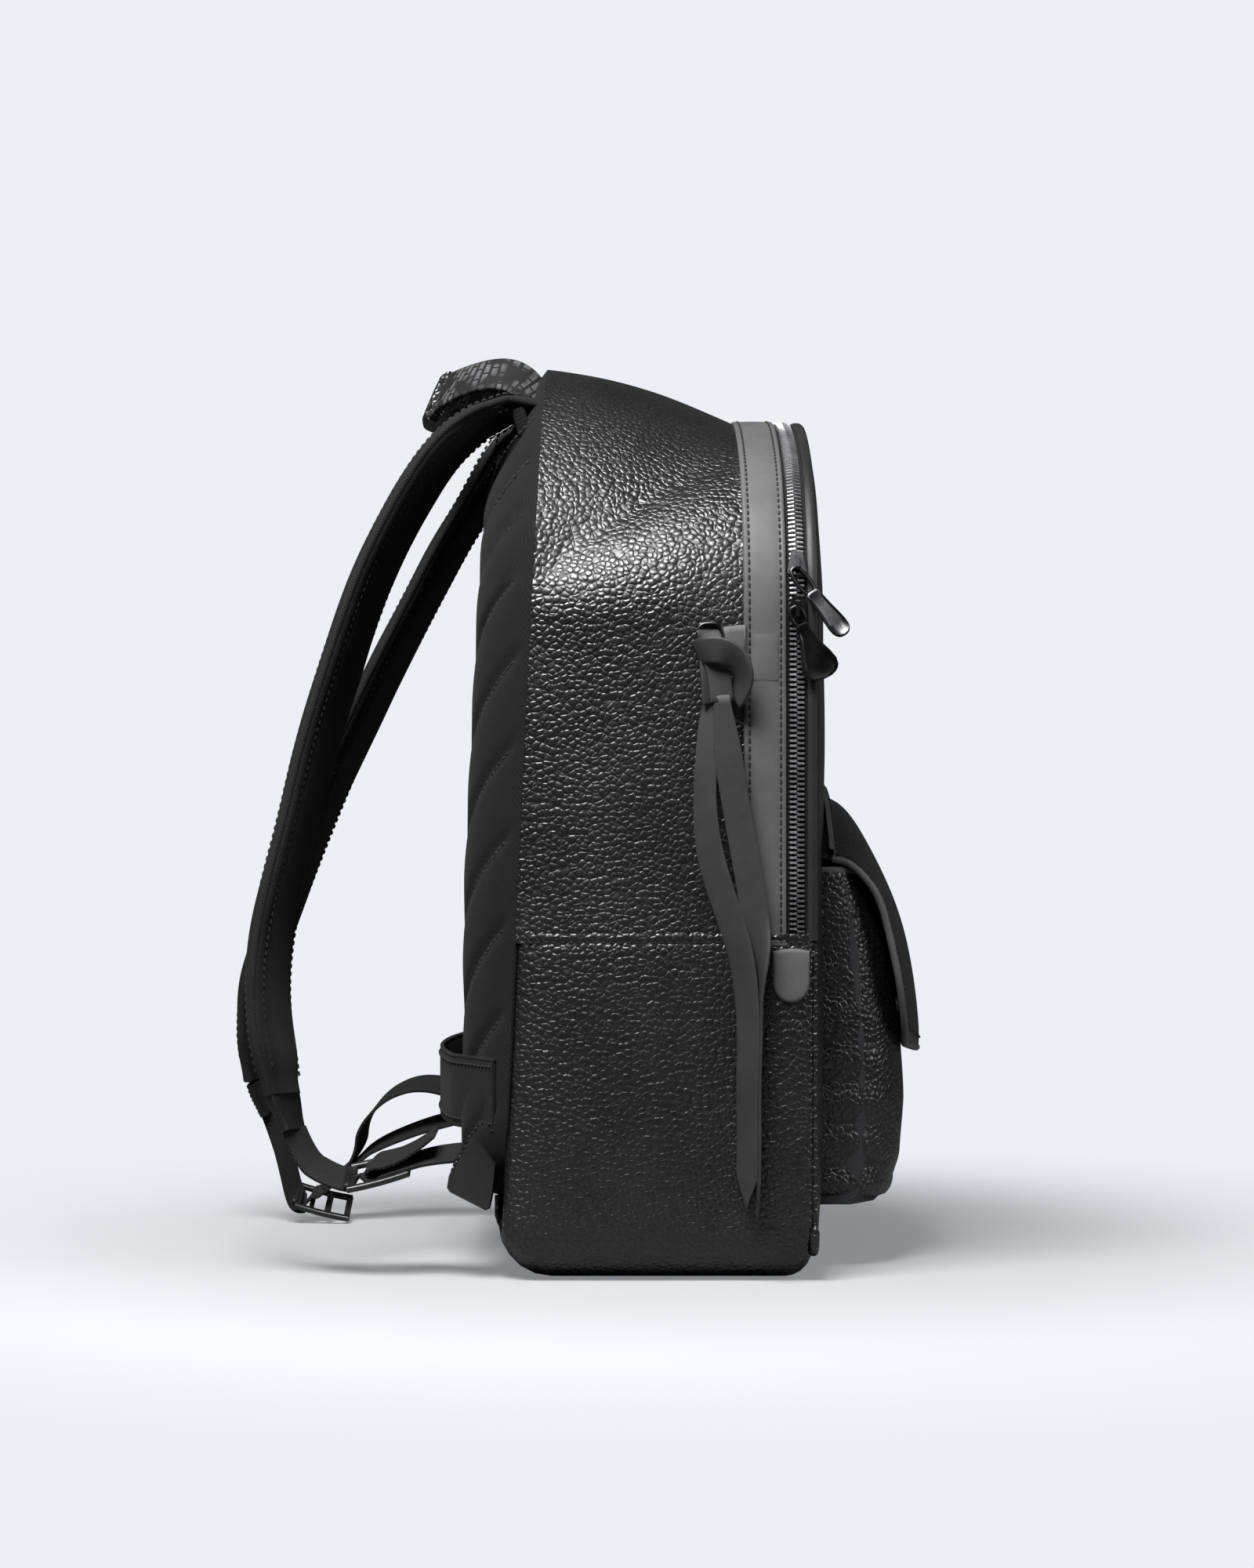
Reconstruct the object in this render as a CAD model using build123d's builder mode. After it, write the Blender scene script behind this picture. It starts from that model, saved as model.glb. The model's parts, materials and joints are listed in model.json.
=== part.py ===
"""Leather backpack as separate pieces, in millimetres.

The origin is the middle of the base on the floor. +Z is up, -Y is the front
pocket side, +Y is the wearer's back, and X runs across the bag.
"""

from build123d import *
from math import asin, atan2, cos, radians, sin, sqrt, tan
import os

# Driving sizes of the bag
HALF_WIDTH = 140.0
TOP_HEIGHT_FRONT = 394.0
TOP_HEIGHT_BACK = 420.0
FRONT_Y = -70.0
BACK_Y = 70.0
BACK_LEAN = 20.0
SHOULDER_Z = 290.0
SHOULDER_RADIUS = 90.0
BASE_CORNER_RADIUS = 22.0
LEATHER = 2.4
GAP = 0.3

# Bands along the depth
STRIP_BACK_Y = -38.0
STRIP_FRONT_Y = -56.0
ZIP_Y = -61.0
ZIP_SPLIT = 0.4
TEETH_HALF = 3.4
BINDING_BACK_Y = -66.0
ZIP_END_Z = 153.0
REAR_LEATHER_Z = 34.0
FOLD_Z = 228.0

# Back panel
PAD_CROWN = 23.0
PAD_CORNER_RADIUS = 40.0
COVER = 1.2

# Front pocket and flap
POCKET_HALF_WIDTH = 95.0
POCKET_WALL = 2.0
FLAP_HALF_WIDTH = 92.0
FLAP_THICKNESS = 2.0
FLAP_LINING = 0.8

# Straps
STRAP_WIDTH = 58.0
STRAP_THICKNESS = 11.0
WEBBING_WIDTH = 25.0
WEBBING_THICKNESS = 1.8

PANEL_Y = FRONT_Y - LEATHER
LEAN_ANGLE = atan2(BACK_LEAN, TOP_HEIGHT_BACK)
REACH = 400.0
ABOVE_ALL = 460.0
TOE_RADIUS = 12.0
HEEL_RADIUS = 24.0

os.makedirs("parts", exist_ok=True)


def save(builder, name):
    """Label a finished piece and write its STEP file."""
    builder.part.label = name
    export_step(builder.part, f"parts/{name}.step")


def xz_plane(y):
    """Upright plane across the bag at depth y, facing the front."""
    return Plane.XZ.offset(-y)


def back_plane(out=0.0):
    """Leaning plane of the back seam, moved outwards by out, facing the front."""
    return Plane(
        origin=(0, BACK_Y + out, 0),
        x_dir=(1, 0, 0),
        z_dir=(0, -cos(LEAN_ANGLE), -sin(LEAN_ANGLE)),
    )


def back_y(z):
    """Depth of the back seam plane at height z."""
    return BACK_Y - z * tan(LEAN_ANGLE)


def arch_wire(top, inset=0.0, bottom=0.0, corner=BASE_CORNER_RADIUS, side=None, crown=None):
    """Outline of the bag seen from the front: square foot, round shoulders and crown."""
    side = inset if side is None else side
    crown = inset if crown is None else crown
    half = HALF_WIDTH - side
    small = SHOULDER_RADIUS - side
    top = top - crown
    low = bottom + inset
    round_foot = max(corner - inset, 1.0)
    rise = top - SHOULDER_Z
    reach = half - small
    crown_radius = (reach**2 + rise**2 - small**2) / (2 * (rise - small))
    crown_z = top - crown_radius
    turn = atan2(reach, SHOULDER_Z - crown_z)
    touch_x = crown_radius * sin(turn)
    touch_z = crown_z + crown_radius * cos(turn)
    mid_turn = (radians(90) + turn) / 2
    mid_x = reach + small * sin(mid_turn)
    mid_z = SHOULDER_Z + small * cos(mid_turn)
    foot = round_foot * (1 - sqrt(0.5))
    Line((-half + round_foot, low), (half - round_foot, low))
    ThreePointArc(
        (half - round_foot, low), (half - foot, low + foot), (half, low + round_foot)
    )
    Line((half, low + round_foot), (half, SHOULDER_Z))
    ThreePointArc((half, SHOULDER_Z), (mid_x, mid_z), (touch_x, touch_z))
    ThreePointArc((touch_x, touch_z), (0, top), (-touch_x, touch_z))
    ThreePointArc((-touch_x, touch_z), (-mid_x, mid_z), (-half, SHOULDER_Z))
    Line((-half, SHOULDER_Z), (-half, low + round_foot))
    ThreePointArc(
        (-half, low + round_foot), (-half + foot, low + foot), (-half + round_foot, low)
    )


def arch(
    top, inset=0.0, bottom=0.0, corner=BASE_CORNER_RADIUS, side=None, crown=None, mode=Mode.ADD
):
    """Face inside the arch outline, for use inside a sketch."""
    with BuildLine() as outline:
        arch_wire(top, inset, bottom, corner, side, crown)
    make_face(outline.edges(), mode=mode)


def tunnel(inset, front_y=FRONT_Y):
    """Bag volume, open-ended: straight front stretch and the rear stretch that rises to the back."""
    with BuildPart() as volume:
        with BuildSketch(xz_plane(STRIP_BACK_Y)):
            arch(TOP_HEIGHT_FRONT, inset)
        extrude(amount=STRIP_BACK_Y - front_y)
        with BuildSketch(xz_plane(STRIP_BACK_Y)):
            arch(TOP_HEIGHT_FRONT, inset)
        with BuildSketch(back_plane()):
            arch(TOP_HEIGHT_BACK / cos(LEAN_ANGLE), inset)
        loft(ruled=True)
    return volume.part


def side_slice(inset):
    """Side profile of the bag, with the rounded heel and toe, across the width."""
    with BuildPart() as profile:
        with BuildSketch(Plane.YZ.offset(-HALF_WIDTH - 10)):
            with BuildLine():
                Polyline(
                    (FRONT_Y + inset, ABOVE_ALL),
                    (FRONT_Y + inset, inset),
                    (BACK_Y - inset, inset),
                    (back_y(ABOVE_ALL) - inset, ABOVE_ALL),
                    close=True,
                )
            make_face()
            feet = vertices().sort_by(Axis.Y)[:2]
            fillet(feet.sort_by(Axis.X)[0], TOE_RADIUS - inset)
            fillet(vertices().sort_by(Axis.Y)[0:3].sort_by(Axis.X)[-1], HEEL_RADIUS - inset)
        extrude(amount=2 * HALF_WIDTH + 20)
    return profile.part


def closed_body(inset):
    """Bag volume closed by the side profile."""
    with BuildPart() as volume:
        add(tunnel(inset))
        add(side_slice(inset), mode=Mode.INTERSECT)
    return volume.part


def slab(low, high):
    """Plain block between two corners, used only to trim pieces."""
    with BuildPart() as block:
        middle = [(a + b) / 2 for a, b in zip(low, high)]
        size = [b - a for a, b in zip(low, high)]
        with Locations(tuple(middle)):
            Box(*size)
    return block.part


def band(y_back, y_front, outer, inner, z_low=ZIP_END_Z, z_high=460.0):
    """Strip that follows the bag's outline between two depths, above z_low."""
    with BuildPart() as strip:
        with BuildSketch(xz_plane(y_back)):
            arch(TOP_HEIGHT_FRONT, outer)
            arch(TOP_HEIGHT_FRONT, inner, mode=Mode.SUBTRACT)
        extrude(amount=y_back - y_front)
        add(slab((-200, -200, z_low), (200, 200, z_high)), mode=Mode.INTERSECT)
    return strip.part


# ---------------------------------------------------------------- bag shell

with BuildPart() as lower_wrap:
    add(closed_body(0))
    add(closed_body(LEATHER), mode=Mode.SUBTRACT)
    add(slab((-200, -200, -1), (200, 200, ZIP_END_Z - GAP)), mode=Mode.INTERSECT)
    rear_core = slab((-137.6, 0, REAR_LEATHER_Z), (137.6, 90, 160))
    add(rear_core, mode=Mode.SUBTRACT)
    add(slab((-200, -75, 12), (200, BINDING_BACK_Y - 0.9, 160)), mode=Mode.SUBTRACT)
save(lower_wrap, "lower_wrap")

with BuildPart() as base_board:
    with BuildSketch(Plane.XY.offset(3.9)):
        with Locations((0, -2)):
            RectangleRounded(236, 96, 12)
    extrude(amount=1.5)
save(base_board, "base_board")

with BuildPart() as gusset:
    add(tunnel(0))
    add(tunnel(LEATHER), mode=Mode.SUBTRACT)
    add(slab((-200, STRIP_BACK_Y, ZIP_END_Z), (200, 120, 460)), mode=Mode.INTERSECT)
save(gusset, "gusset")

with BuildPart() as trim_strip:
    add(band(STRIP_BACK_Y, STRIP_FRONT_Y, -0.6, LEATHER - 0.6))
save(trim_strip, "trim_strip")

# ---------------------------------------------------------------- zip

TAPE_OUT, TAPE_IN = 1.2, 2.2
TEETH_OUT = -0.6
FOLD_LOW = FOLD_Z - GAP
FOLD_HIGH = FOLD_Z + GAP

with BuildPart() as zip_tape_rear:
    add(band(STRIP_FRONT_Y, ZIP_Y + ZIP_SPLIT, TAPE_OUT, TAPE_IN))
save(zip_tape_rear, "zip_tape_rear")

with BuildPart() as zip_teeth_rear:
    add(band(ZIP_Y + TEETH_HALF, ZIP_Y + ZIP_SPLIT / 2, TEETH_OUT, TAPE_OUT))
save(zip_teeth_rear, "zip_teeth_rear")

for suffix, z_low, z_high in (("lower", ZIP_END_Z, FOLD_LOW), ("upper", FOLD_HIGH, 460.0)):
    with BuildPart() as front_tape:
        add(band(ZIP_Y - ZIP_SPLIT, BINDING_BACK_Y, TAPE_OUT, TAPE_IN, z_low, z_high))
    save(front_tape, f"zip_tape_front_{suffix}")

    with BuildPart() as front_teeth:
        add(band(ZIP_Y - ZIP_SPLIT / 2, ZIP_Y - TEETH_HALF, TEETH_OUT, TAPE_OUT, z_low, z_high))
    save(front_teeth, f"zip_teeth_front_{suffix}")

    with BuildPart() as binding:
        add(band(BINDING_BACK_Y, FRONT_Y, 0, LEATHER, z_low, z_high))
    save(binding, f"front_binding_{suffix}")

with BuildPart() as zip_end_tabs:
    with BuildSketch(Plane.YZ.offset(HALF_WIDTH)):
        with Locations((ZIP_Y + 2.5, 133)):
            SlotOverall(22, 16, rotation=90)
    extrude(amount=1.6)
    mirror(about=Plane.YZ)
save(zip_end_tabs, "zip_end_tabs")

# ---------------------------------------------------------------- front panel and its seams

PANEL_FOOT_Z = 12.0

for name, z_low, z_high in (
    ("front_panel_lower", PANEL_FOOT_Z, FOLD_LOW),
    ("front_panel_upper", FOLD_HIGH, 460.0),
):
    with BuildPart() as panel:
        with BuildSketch(xz_plane(FRONT_Y)):
            arch(TOP_HEIGHT_FRONT - 2, bottom=PANEL_FOOT_Z, corner=BASE_CORNER_RADIUS - 8)
            with Locations((0, (z_low + z_high) / 2)):
                Rectangle(REACH, z_high - z_low, mode=Mode.INTERSECT)
        extrude(amount=LEATHER)
    save(panel, name)

with BuildPart() as front_piping:
    add(band(BINDING_BACK_Y - 0.9, FRONT_Y, -0.4, LEATHER, PANEL_FOOT_Z, ZIP_END_Z - GAP))
    add(slab((-200, -200, PANEL_FOOT_Z + 12), (200, 200, 460)), mode=Mode.INTERSECT)
save(front_piping, "front_piping")

# ---------------------------------------------------------------- back panel

PAD_SIDE, PAD_TOP, PAD_FOOT = 45.0, 50.0, 12.0
ARCH_BACK_TOP = TOP_HEIGHT_BACK / cos(LEAN_ANGLE)


def back_pad(inset, lift, start=0.0):
    """Crowned pad on the back seam plane: full outline at the seam, smaller outline further out."""
    with BuildPart() as pad:
        with BuildSketch(back_plane(start)):
            arch(ARCH_BACK_TOP, inset, REAR_LEATHER_Z, PAD_CORNER_RADIUS)
        with BuildSketch(back_plane(lift)):
            arch(
                ARCH_BACK_TOP,
                inset + PAD_FOOT,
                REAR_LEATHER_Z,
                PAD_CORNER_RADIUS,
                side=inset + PAD_SIDE,
                crown=inset + PAD_TOP,
            )
        loft(ruled=True)
    return pad.part


# Lower anchor tabs and the room they press into the pad
ANCHOR_X, ANCHOR_HALF = 122.0, 14.0
ANCHOR_PROFILE = [(70.5, 44), (73, 33), (91, 41), (92.5, 45), (83, 62), (78, 62)]


def anchor_block(side, grow=0.0):
    """Folded leather tab in its side profile, or the room round it."""
    with BuildPart() as tab:
        with BuildSketch(Plane.YZ.offset(side * ANCHOR_X)):
            with BuildLine():
                Polyline(*ANCHOR_PROFILE, close=True)
            make_face()
            if grow:
                offset(amount=grow, kind=Kind.INTERSECTION)
        extrude(amount=ANCHOR_HALF + grow, both=True)
    return tab.part


with BuildPart() as back_board:
    with BuildSketch(back_plane()):
        arch(ARCH_BACK_TOP, LEATHER + 1.0, REAR_LEATHER_Z, PAD_CORNER_RADIUS)
    extrude(amount=2.0)
save(back_board, "back_board")

with BuildPart() as back_panel_cover:
    add(back_pad(0, PAD_CROWN, 0.1))
    add(back_pad(COVER, PAD_CROWN - COVER, 0.1), mode=Mode.SUBTRACT)
    for side in (-1, 1):
        add(anchor_block(side, GAP), mode=Mode.SUBTRACT)
save(back_panel_cover, "back_panel_cover")

with BuildPart() as back_foam:
    add(back_pad(COVER + 0.1, PAD_CROWN - COVER - 0.1, 0.1))
    for side in (-1, 1):
        add(anchor_block(side, GAP + COVER), mode=Mode.SUBTRACT)
save(back_foam, "back_foam")

for label, side in (("left", -1), ("right", 1)):
    with BuildPart() as anchor_tab:
        add(anchor_block(side))
    save(anchor_tab, f"anchor_tab_{label}")

with BuildPart() as trolley_band:
    bow_y, bend_x, bend_y, end_x, end_y = 101.5, 96.0, 92.8, 135.0, 73.0
    thick = 2.0
    with BuildSketch(Plane.XY.offset(66)):
        with BuildLine():
            ThreePointArc((-bend_x, bend_y), (0, bow_y), (bend_x, bend_y))
            Line((bend_x, bend_y), (end_x, end_y))
            Line((end_x, end_y), (end_x, end_y - thick))
            Line((end_x, end_y - thick), (bend_x, bend_y - thick))
            ThreePointArc((bend_x, bend_y - thick), (0, bow_y - thick), (-bend_x, bend_y - thick))
            Line((-bend_x, bend_y - thick), (-end_x, end_y - thick))
            Line((-end_x, end_y - thick), (-end_x, end_y))
            Line((-end_x, end_y), (-bend_x, bend_y))
        make_face()
    extrude(amount=31)
save(trolley_band, "trolley_band")

# ---------------------------------------------------------------- inside

with BuildPart() as lining:
    add(closed_body(LEATHER + 0.6))
    add(closed_body(LEATHER + 1.2), mode=Mode.SUBTRACT)
    add(slab((-200, STRIP_FRONT_Y, -1), (200, 120, 460)), mode=Mode.INTERSECT)
save(lining, "lining")

SLEEVE_HALF, SLEEVE_WALL = 119.0, 1.2
with BuildPart() as laptop_sleeve:
    with BuildSketch(Plane.XY.offset(6.5)):
        with Locations((0, 42)):
            Rectangle(2 * SLEEVE_HALF, 20)
        with Locations((0, 42 + SLEEVE_WALL)):
            Rectangle(2 * (SLEEVE_HALF - SLEEVE_WALL), 20, mode=Mode.SUBTRACT)
    extrude(amount=240)
    with BuildSketch(Plane.XY.offset(6.5)):
        with Locations((0, 42)):
            Rectangle(2 * SLEEVE_HALF, 20)
    extrude(amount=SLEEVE_WALL)
save(laptop_sleeve, "laptop_sleeve")

# ---------------------------------------------------------------- front pocket

# Depth of the pocket ahead of the front panel at each height
POCKET_DEPTHS = [(27, 34), (35, 41), (76, 46.5), (104, 45), (143, 39.5), (181, 27)]
POCKET_FOOT_Z, POCKET_MOUTH_Z = POCKET_DEPTHS[0][0], POCKET_DEPTHS[-1][0]


def pocket_volume(inset, overshoot=0.0):
    """Pocket volume built of plan outlines stacked from the foot to the mouth."""
    half = POCKET_HALF_WIDTH - inset
    rows = [(POCKET_FOOT_Z + inset, POCKET_DEPTHS[0][1])]
    rows += POCKET_DEPTHS[1:-1]
    rows += [(POCKET_MOUTH_Z + overshoot, POCKET_DEPTHS[-1][1] - 0.33 * overshoot)]
    with BuildPart() as volume:
        for z, depth in rows:
            reach = depth - inset
            with BuildSketch(Plane.XY.offset(z)):
                with BuildLine():
                    Polyline(
                        (-half, PANEL_Y),
                        (-half, PANEL_Y - 0.5 * reach),
                        (-0.8 * half, PANEL_Y - 0.88 * reach),
                        (-0.4 * half, PANEL_Y - reach),
                        (0.4 * half, PANEL_Y - reach),
                        (0.8 * half, PANEL_Y - 0.88 * reach),
                        (half, PANEL_Y - 0.5 * reach),
                        (half, PANEL_Y),
                        close=True,
                    )
                make_face()
        loft(ruled=True)
    return volume.part


with BuildPart() as pocket_body:
    add(pocket_volume(0))
    add(pocket_volume(POCKET_WALL, 6), mode=Mode.SUBTRACT)
save(pocket_body, "pocket_body")

with BuildPart() as pocket_lining:
    add(pocket_volume(POCKET_WALL + 0.1, 6))
    add(pocket_volume(POCKET_WALL + 0.8, 6), mode=Mode.SUBTRACT)
    add(slab((-200, -200, 0), (200, 0, POCKET_MOUTH_Z - 6)), mode=Mode.INTERSECT)
save(pocket_lining, "pocket_lining")

# Flap: side curve down the middle and down its side edges
FLAP_TOP = (-73.4, 219.5)
FLAP_MIDDLE = [
    FLAP_TOP, (-84, 216.5), (-94, 210), (-104.5, 192), (-116, 166), (-122.5, 143), (-128.5, 106),
    (-127.5, 96),
]
FLAP_EDGE = [
    (-73.4, 187), (-80.6, 187), (-88.4, 185), (-96.2, 178), (-103, 168), (-108, 148),
    (-113.3, 122), (-116, 101),
]


def flap_line(u, inward):
    """Side curve of the flap at a share u of its half width, moved inward from the outer skin."""
    points = []
    for (my, mz), (ey, ez) in zip(FLAP_MIDDLE, FLAP_EDGE):
        points.append(Vector(my + (ey - my) * u * u, mz + (ez - mz) * u * u))
    moved = []
    for i, point in enumerate(points):
        before = points[max(i - 1, 0)]
        after = points[min(i + 1, len(points) - 1)]
        along = (after - before).normalized()
        moved.append(point + Vector(-along.Y, along.X) * inward)
    moved[0] = Vector(points[0].X, moved[0].Y)
    return moved


def flap_sheet(near, far):
    """Domed sheet between two depths inside the flap's outer skin."""
    shares = [-1, -0.75, -0.5, -0.25, 0, 0.25, 0.5, 0.75, 1]
    with BuildPart() as sheet:
        for u in shares:
            outer = [(p.X, p.Y) for p in flap_line(u, near)]
            inner = [(p.X, p.Y) for p in reversed(flap_line(u, far))]
            with BuildSketch(Plane.YZ.offset(u * FLAP_HALF_WIDTH)):
                with BuildLine():
                    Polyline(*outer, *inner, close=True)
                make_face()
        loft(ruled=True)
    return sheet.part


with BuildPart() as flap_outer:
    add(flap_sheet(0, FLAP_THICKNESS))
save(flap_outer, "flap_outer")

with BuildPart() as flap_lining:
    add(flap_sheet(FLAP_THICKNESS, FLAP_THICKNESS + FLAP_LINING))
save(flap_lining, "flap_lining")

with BuildPart() as flap_seam:
    with BuildSketch(Plane.XZ.offset(-PANEL_Y)):
        with Locations((0, 224.6)):
            RectangleRounded(150, 4, 1.5)
    extrude(amount=1.2)
save(flap_seam, "flap_seam")

SNAP_Z = 120.0
with BuildPart() as snap_socket:
    with BuildSketch(xz_plane(-112.0)):
        with Locations((0, SNAP_Z)):
            Circle(8)
    extrude(amount=6.6)
    add(pocket_volume(0), mode=Mode.SUBTRACT)
save(snap_socket, "snap_socket")

with BuildPart() as snap_stud:
    with BuildSketch(xz_plane(-119.2)):
        with Locations((0, SNAP_Z)):
            Circle(7)
    extrude(amount=9)
    keep_inside = [(p.X, p.Y) for p in flap_line(0, FLAP_THICKNESS + FLAP_LINING + 0.3)]
    with BuildSketch(Plane.YZ.offset(-20)):
        with BuildLine():
            Polyline(*keep_inside, (-60, 96), (-60, 219), close=True)
        make_face()
    extrude(amount=40, mode=Mode.INTERSECT)
save(snap_stud, "snap_stud")

# ---------------------------------------------------------------- zip sliders and pulls

SLIDER_PLATE, SLIDER_GAP = 1.6, 0.5
BRIDGE_RISE, BRIDGE_WALL = 3.4, 0.7
PULL_TILT = radians(36)
PULL_RING = 4.4
SLIDERS = {"upper": 316.0, "lower": 296.0}


def slider_plane(label):
    """Plane on the near side's teeth: y up the chain, z out of the bag."""
    z = SLIDERS[label]
    out = SHOULDER_RADIUS - TEETH_OUT + SLIDER_GAP
    lean = asin((z - SHOULDER_Z) / SHOULDER_RADIUS) if label == "upper" else 0.0
    x = -(HALF_WIDTH - SHOULDER_RADIUS + out * cos(lean))
    return Plane(origin=(x, ZIP_Y, z), x_dir=(0, -1, 0), z_dir=(-cos(lean), 0, sin(lean)))


for label in SLIDERS:
    seat = slider_plane(label)
    bridge = Plane(origin=seat.origin, x_dir=seat.y_dir, z_dir=seat.x_dir)
    with BuildPart() as slider:
        with BuildSketch(seat):
            Trapezoid(9, 11, 80)
            fillet(vertices(), 1.5)
        extrude(amount=SLIDER_PLATE)
        with BuildSketch(bridge):
            with Locations((0, SLIDER_PLATE + BRIDGE_RISE / 2 - 0.1)):
                RectangleRounded(7.6, BRIDGE_RISE + 0.2, 1)
            with Locations((0, SLIDER_PLATE + BRIDGE_RISE / 2 - BRIDGE_WALL)):
                Rectangle(5.6, BRIDGE_RISE, mode=Mode.SUBTRACT)
        extrude(amount=0.9, both=True)
    save(slider, f"zip_slider_{label}")

    pivot = seat.origin + seat.z_dir * (SLIDER_PLATE + (BRIDGE_RISE - BRIDGE_WALL) / 2)
    across = seat.x_dir * cos(PULL_TILT) + seat.y_dir * sin(PULL_TILT)
    hang = Plane(origin=pivot, x_dir=across, z_dir=seat.z_dir)
    with BuildPart() as pull:
        with BuildSketch(hang.offset(-0.6)):
            with Locations((0, -PULL_RING)):
                Circle(PULL_RING + 0.6)
                Circle(PULL_RING - 0.6, mode=Mode.SUBTRACT)
        extrude(amount=1.2)
        with BuildSketch(hang.offset(-0.8)):
            with BuildLine():
                Polyline((-6.5, -27), (-2.4, -9.1), (2.4, -9.1), (6.5, -27))
                ThreePointArc((6.5, -27), (0, -33.5), (-6.5, -27))
            make_face()
        extrude(amount=1.6)
    save(pull, f"zip_pull_{label}")

# ---------------------------------------------------------------- shoulder straps


def ribbon(route, widths, thickness):
    """Flat band along a route of (x, y, z) points, with its width across the bag."""
    points = [Vector(*p) for p in route]
    with BuildPart() as strip:
        for i, point in enumerate(points):
            along = (points[min(i + 1, len(points) - 1)] - points[max(i - 1, 0)]).normalized()
            across = Vector(1, 0, 0) - along * along.X
            width = widths[min(i, len(widths) - 1)]
            with BuildSketch(Plane(origin=point, x_dir=across, z_dir=along)):
                Rectangle(width, thickness)
        loft(ruled=True)
    return strip.part


STRAPS = {
    "left": {
        "pad": [
            (-50, 72.5, 393.5), (-52, 85, 387.5), (-55, 99.6, 374), (-59, 114, 351),
            (-63, 128.5, 322), (-67, 139, 293), (-72, 148, 264), (-78, 156, 235),
            (-84, 163, 202.5), (-90, 171, 170), (-96, 175.5, 141), (-101, 175.5, 116),
            (-105, 171, 90), (-106, 168.5, 80),
        ],
        "tab": [(-106.3, 168, 78.2), (-107, 166, 71.5), (-108, 163.4, 64)],
        "webbing": [(-108.3, 162.9, 62.6), (-109.5, 157.5, 51), (-111, 149, 45.5), (-112.5, 140.4, 43.2)],
        "adjuster": [(-115, 106.6, 51.2), (-116.5, 99, 54), (-117.5, 92.2, 55)],
        "tail": [(-114, 112, 54.8), (-115, 105, 59), (-116, 99, 64)],
        "buckle": ((-113.5, 124, 46.2), -15),
    },
    "right": {
        "pad": [
            (50, 74, 386), (53, 87, 361), (57, 100, 341), (61, 116, 311), (65, 132, 281),
            (68, 143.5, 258), (72, 157, 230), (77, 169.5, 200), (83, 182, 169.5),
            (89, 193, 140), (93, 197.5, 124), (97, 199.5, 108), (99, 200, 92), (100, 198.5, 75),
        ],
        "tab": [(100.3, 197.8, 72.4), (101.5, 196.4, 65), (103, 194.2, 58)],
        "webbing": [(103.3, 193.8, 56.4), (105, 188.5, 43), (106, 184.8, 28), (106.5, 183.4, 16)],
        "adjuster": [
            (107, 163.5, 17), (108, 160, 20.5), (110, 149.7, 29.5), (112, 139.6, 38),
            (115, 119, 46.5), (117.5, 99, 52), (118, 92.2, 54.2),
        ],
        "tail": [
            (110, 148, 35.5), (110, 145, 49), (110, 138.4, 59.4), (110.5, 129.9, 66),
            (111, 119, 70), (111.5, 107, 69.5), (112, 100, 67),
        ],
        "buckle": ((107, 166.5, 8.8), 14),
    },
}
PAD_WIDTHS = [44, 52, STRAP_WIDTH, STRAP_WIDTH]
BUCKLE_LENGTH, BUCKLE_WIDTH, BUCKLE_THICKNESS = 29.0, 34.0, 3.0

for label, strap in STRAPS.items():
    with BuildPart() as strap_pad:
        add(ribbon(strap["pad"], PAD_WIDTHS, STRAP_THICKNESS))
    save(strap_pad, f"strap_pad_{label}")

    with BuildPart() as strap_tab:
        add(ribbon(strap["tab"], [46, 40, 30], 5.0))
    save(strap_tab, f"strap_tab_{label}")

    for name in ("webbing", "adjuster", "tail"):
        with BuildPart() as strip:
            add(ribbon(strap[name], [WEBBING_WIDTH], WEBBING_THICKNESS))
        save(strip, f"strap_{name}_{label}")

    centre, tilt = strap["buckle"]
    face = Plane(origin=centre, x_dir=(1, 0, 0), z_dir=(0, -sin(radians(tilt)), cos(radians(tilt))))
    with BuildPart() as buckle:
        with BuildSketch(face.offset(-BUCKLE_THICKNESS / 2)):
            RectangleRounded(BUCKLE_WIDTH, BUCKLE_LENGTH, 3)
            with Locations((0, -7.5), (0, 1.5), (0, 9.5)):
                Rectangle(WEBBING_WIDTH + 1.5, 4.6, mode=Mode.SUBTRACT)
        extrude(amount=BUCKLE_THICKNESS)
    save(buckle, f"strap_buckle_{label}")

with BuildPart() as strap_yoke:
    with BuildSketch(Plane.YZ.offset(-82)):
        with BuildLine():
            Polyline((59.4, 402), (66.8, 402), (66.8, 390.5), (65.6, 390.5), close=True)
        make_face()
    extrude(amount=164)
save(strap_yoke, "strap_yoke")

# ---------------------------------------------------------------- top handle

HANDLE_HALF, HANDLE_BEND_Y, HANDLE_APEX_Y, HANDLE_THICKNESS = 48.0, 72.0, 106.0, 4.0


def handle_loop(grow=0.0):
    """Loop of the handle seen from above, legs at the back seam and apex flopped behind."""
    half, inner = HANDLE_HALF + grow, HANDLE_HALF - HANDLE_THICKNESS - grow
    apex, inner_apex = HANDLE_APEX_Y + grow, HANDLE_APEX_Y - HANDLE_THICKNESS - grow
    with BuildPart() as loop:
        with BuildSketch(Plane.XY.offset(380)):
            with BuildLine():
                Line((half, 60), (half, HANDLE_BEND_Y))
                ThreePointArc((half, HANDLE_BEND_Y), (0, apex), (-half, HANDLE_BEND_Y))
                Polyline((-half, HANDLE_BEND_Y), (-half, 60), (-inner, 60), (-inner, HANDLE_BEND_Y))
                ThreePointArc((-inner, HANDLE_BEND_Y), (0, inner_apex), (inner, HANDLE_BEND_Y))
                Polyline((inner, HANDLE_BEND_Y), (inner, 60), (half, 60))
            make_face()
        extrude(amount=60)
    return loop.part


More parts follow.
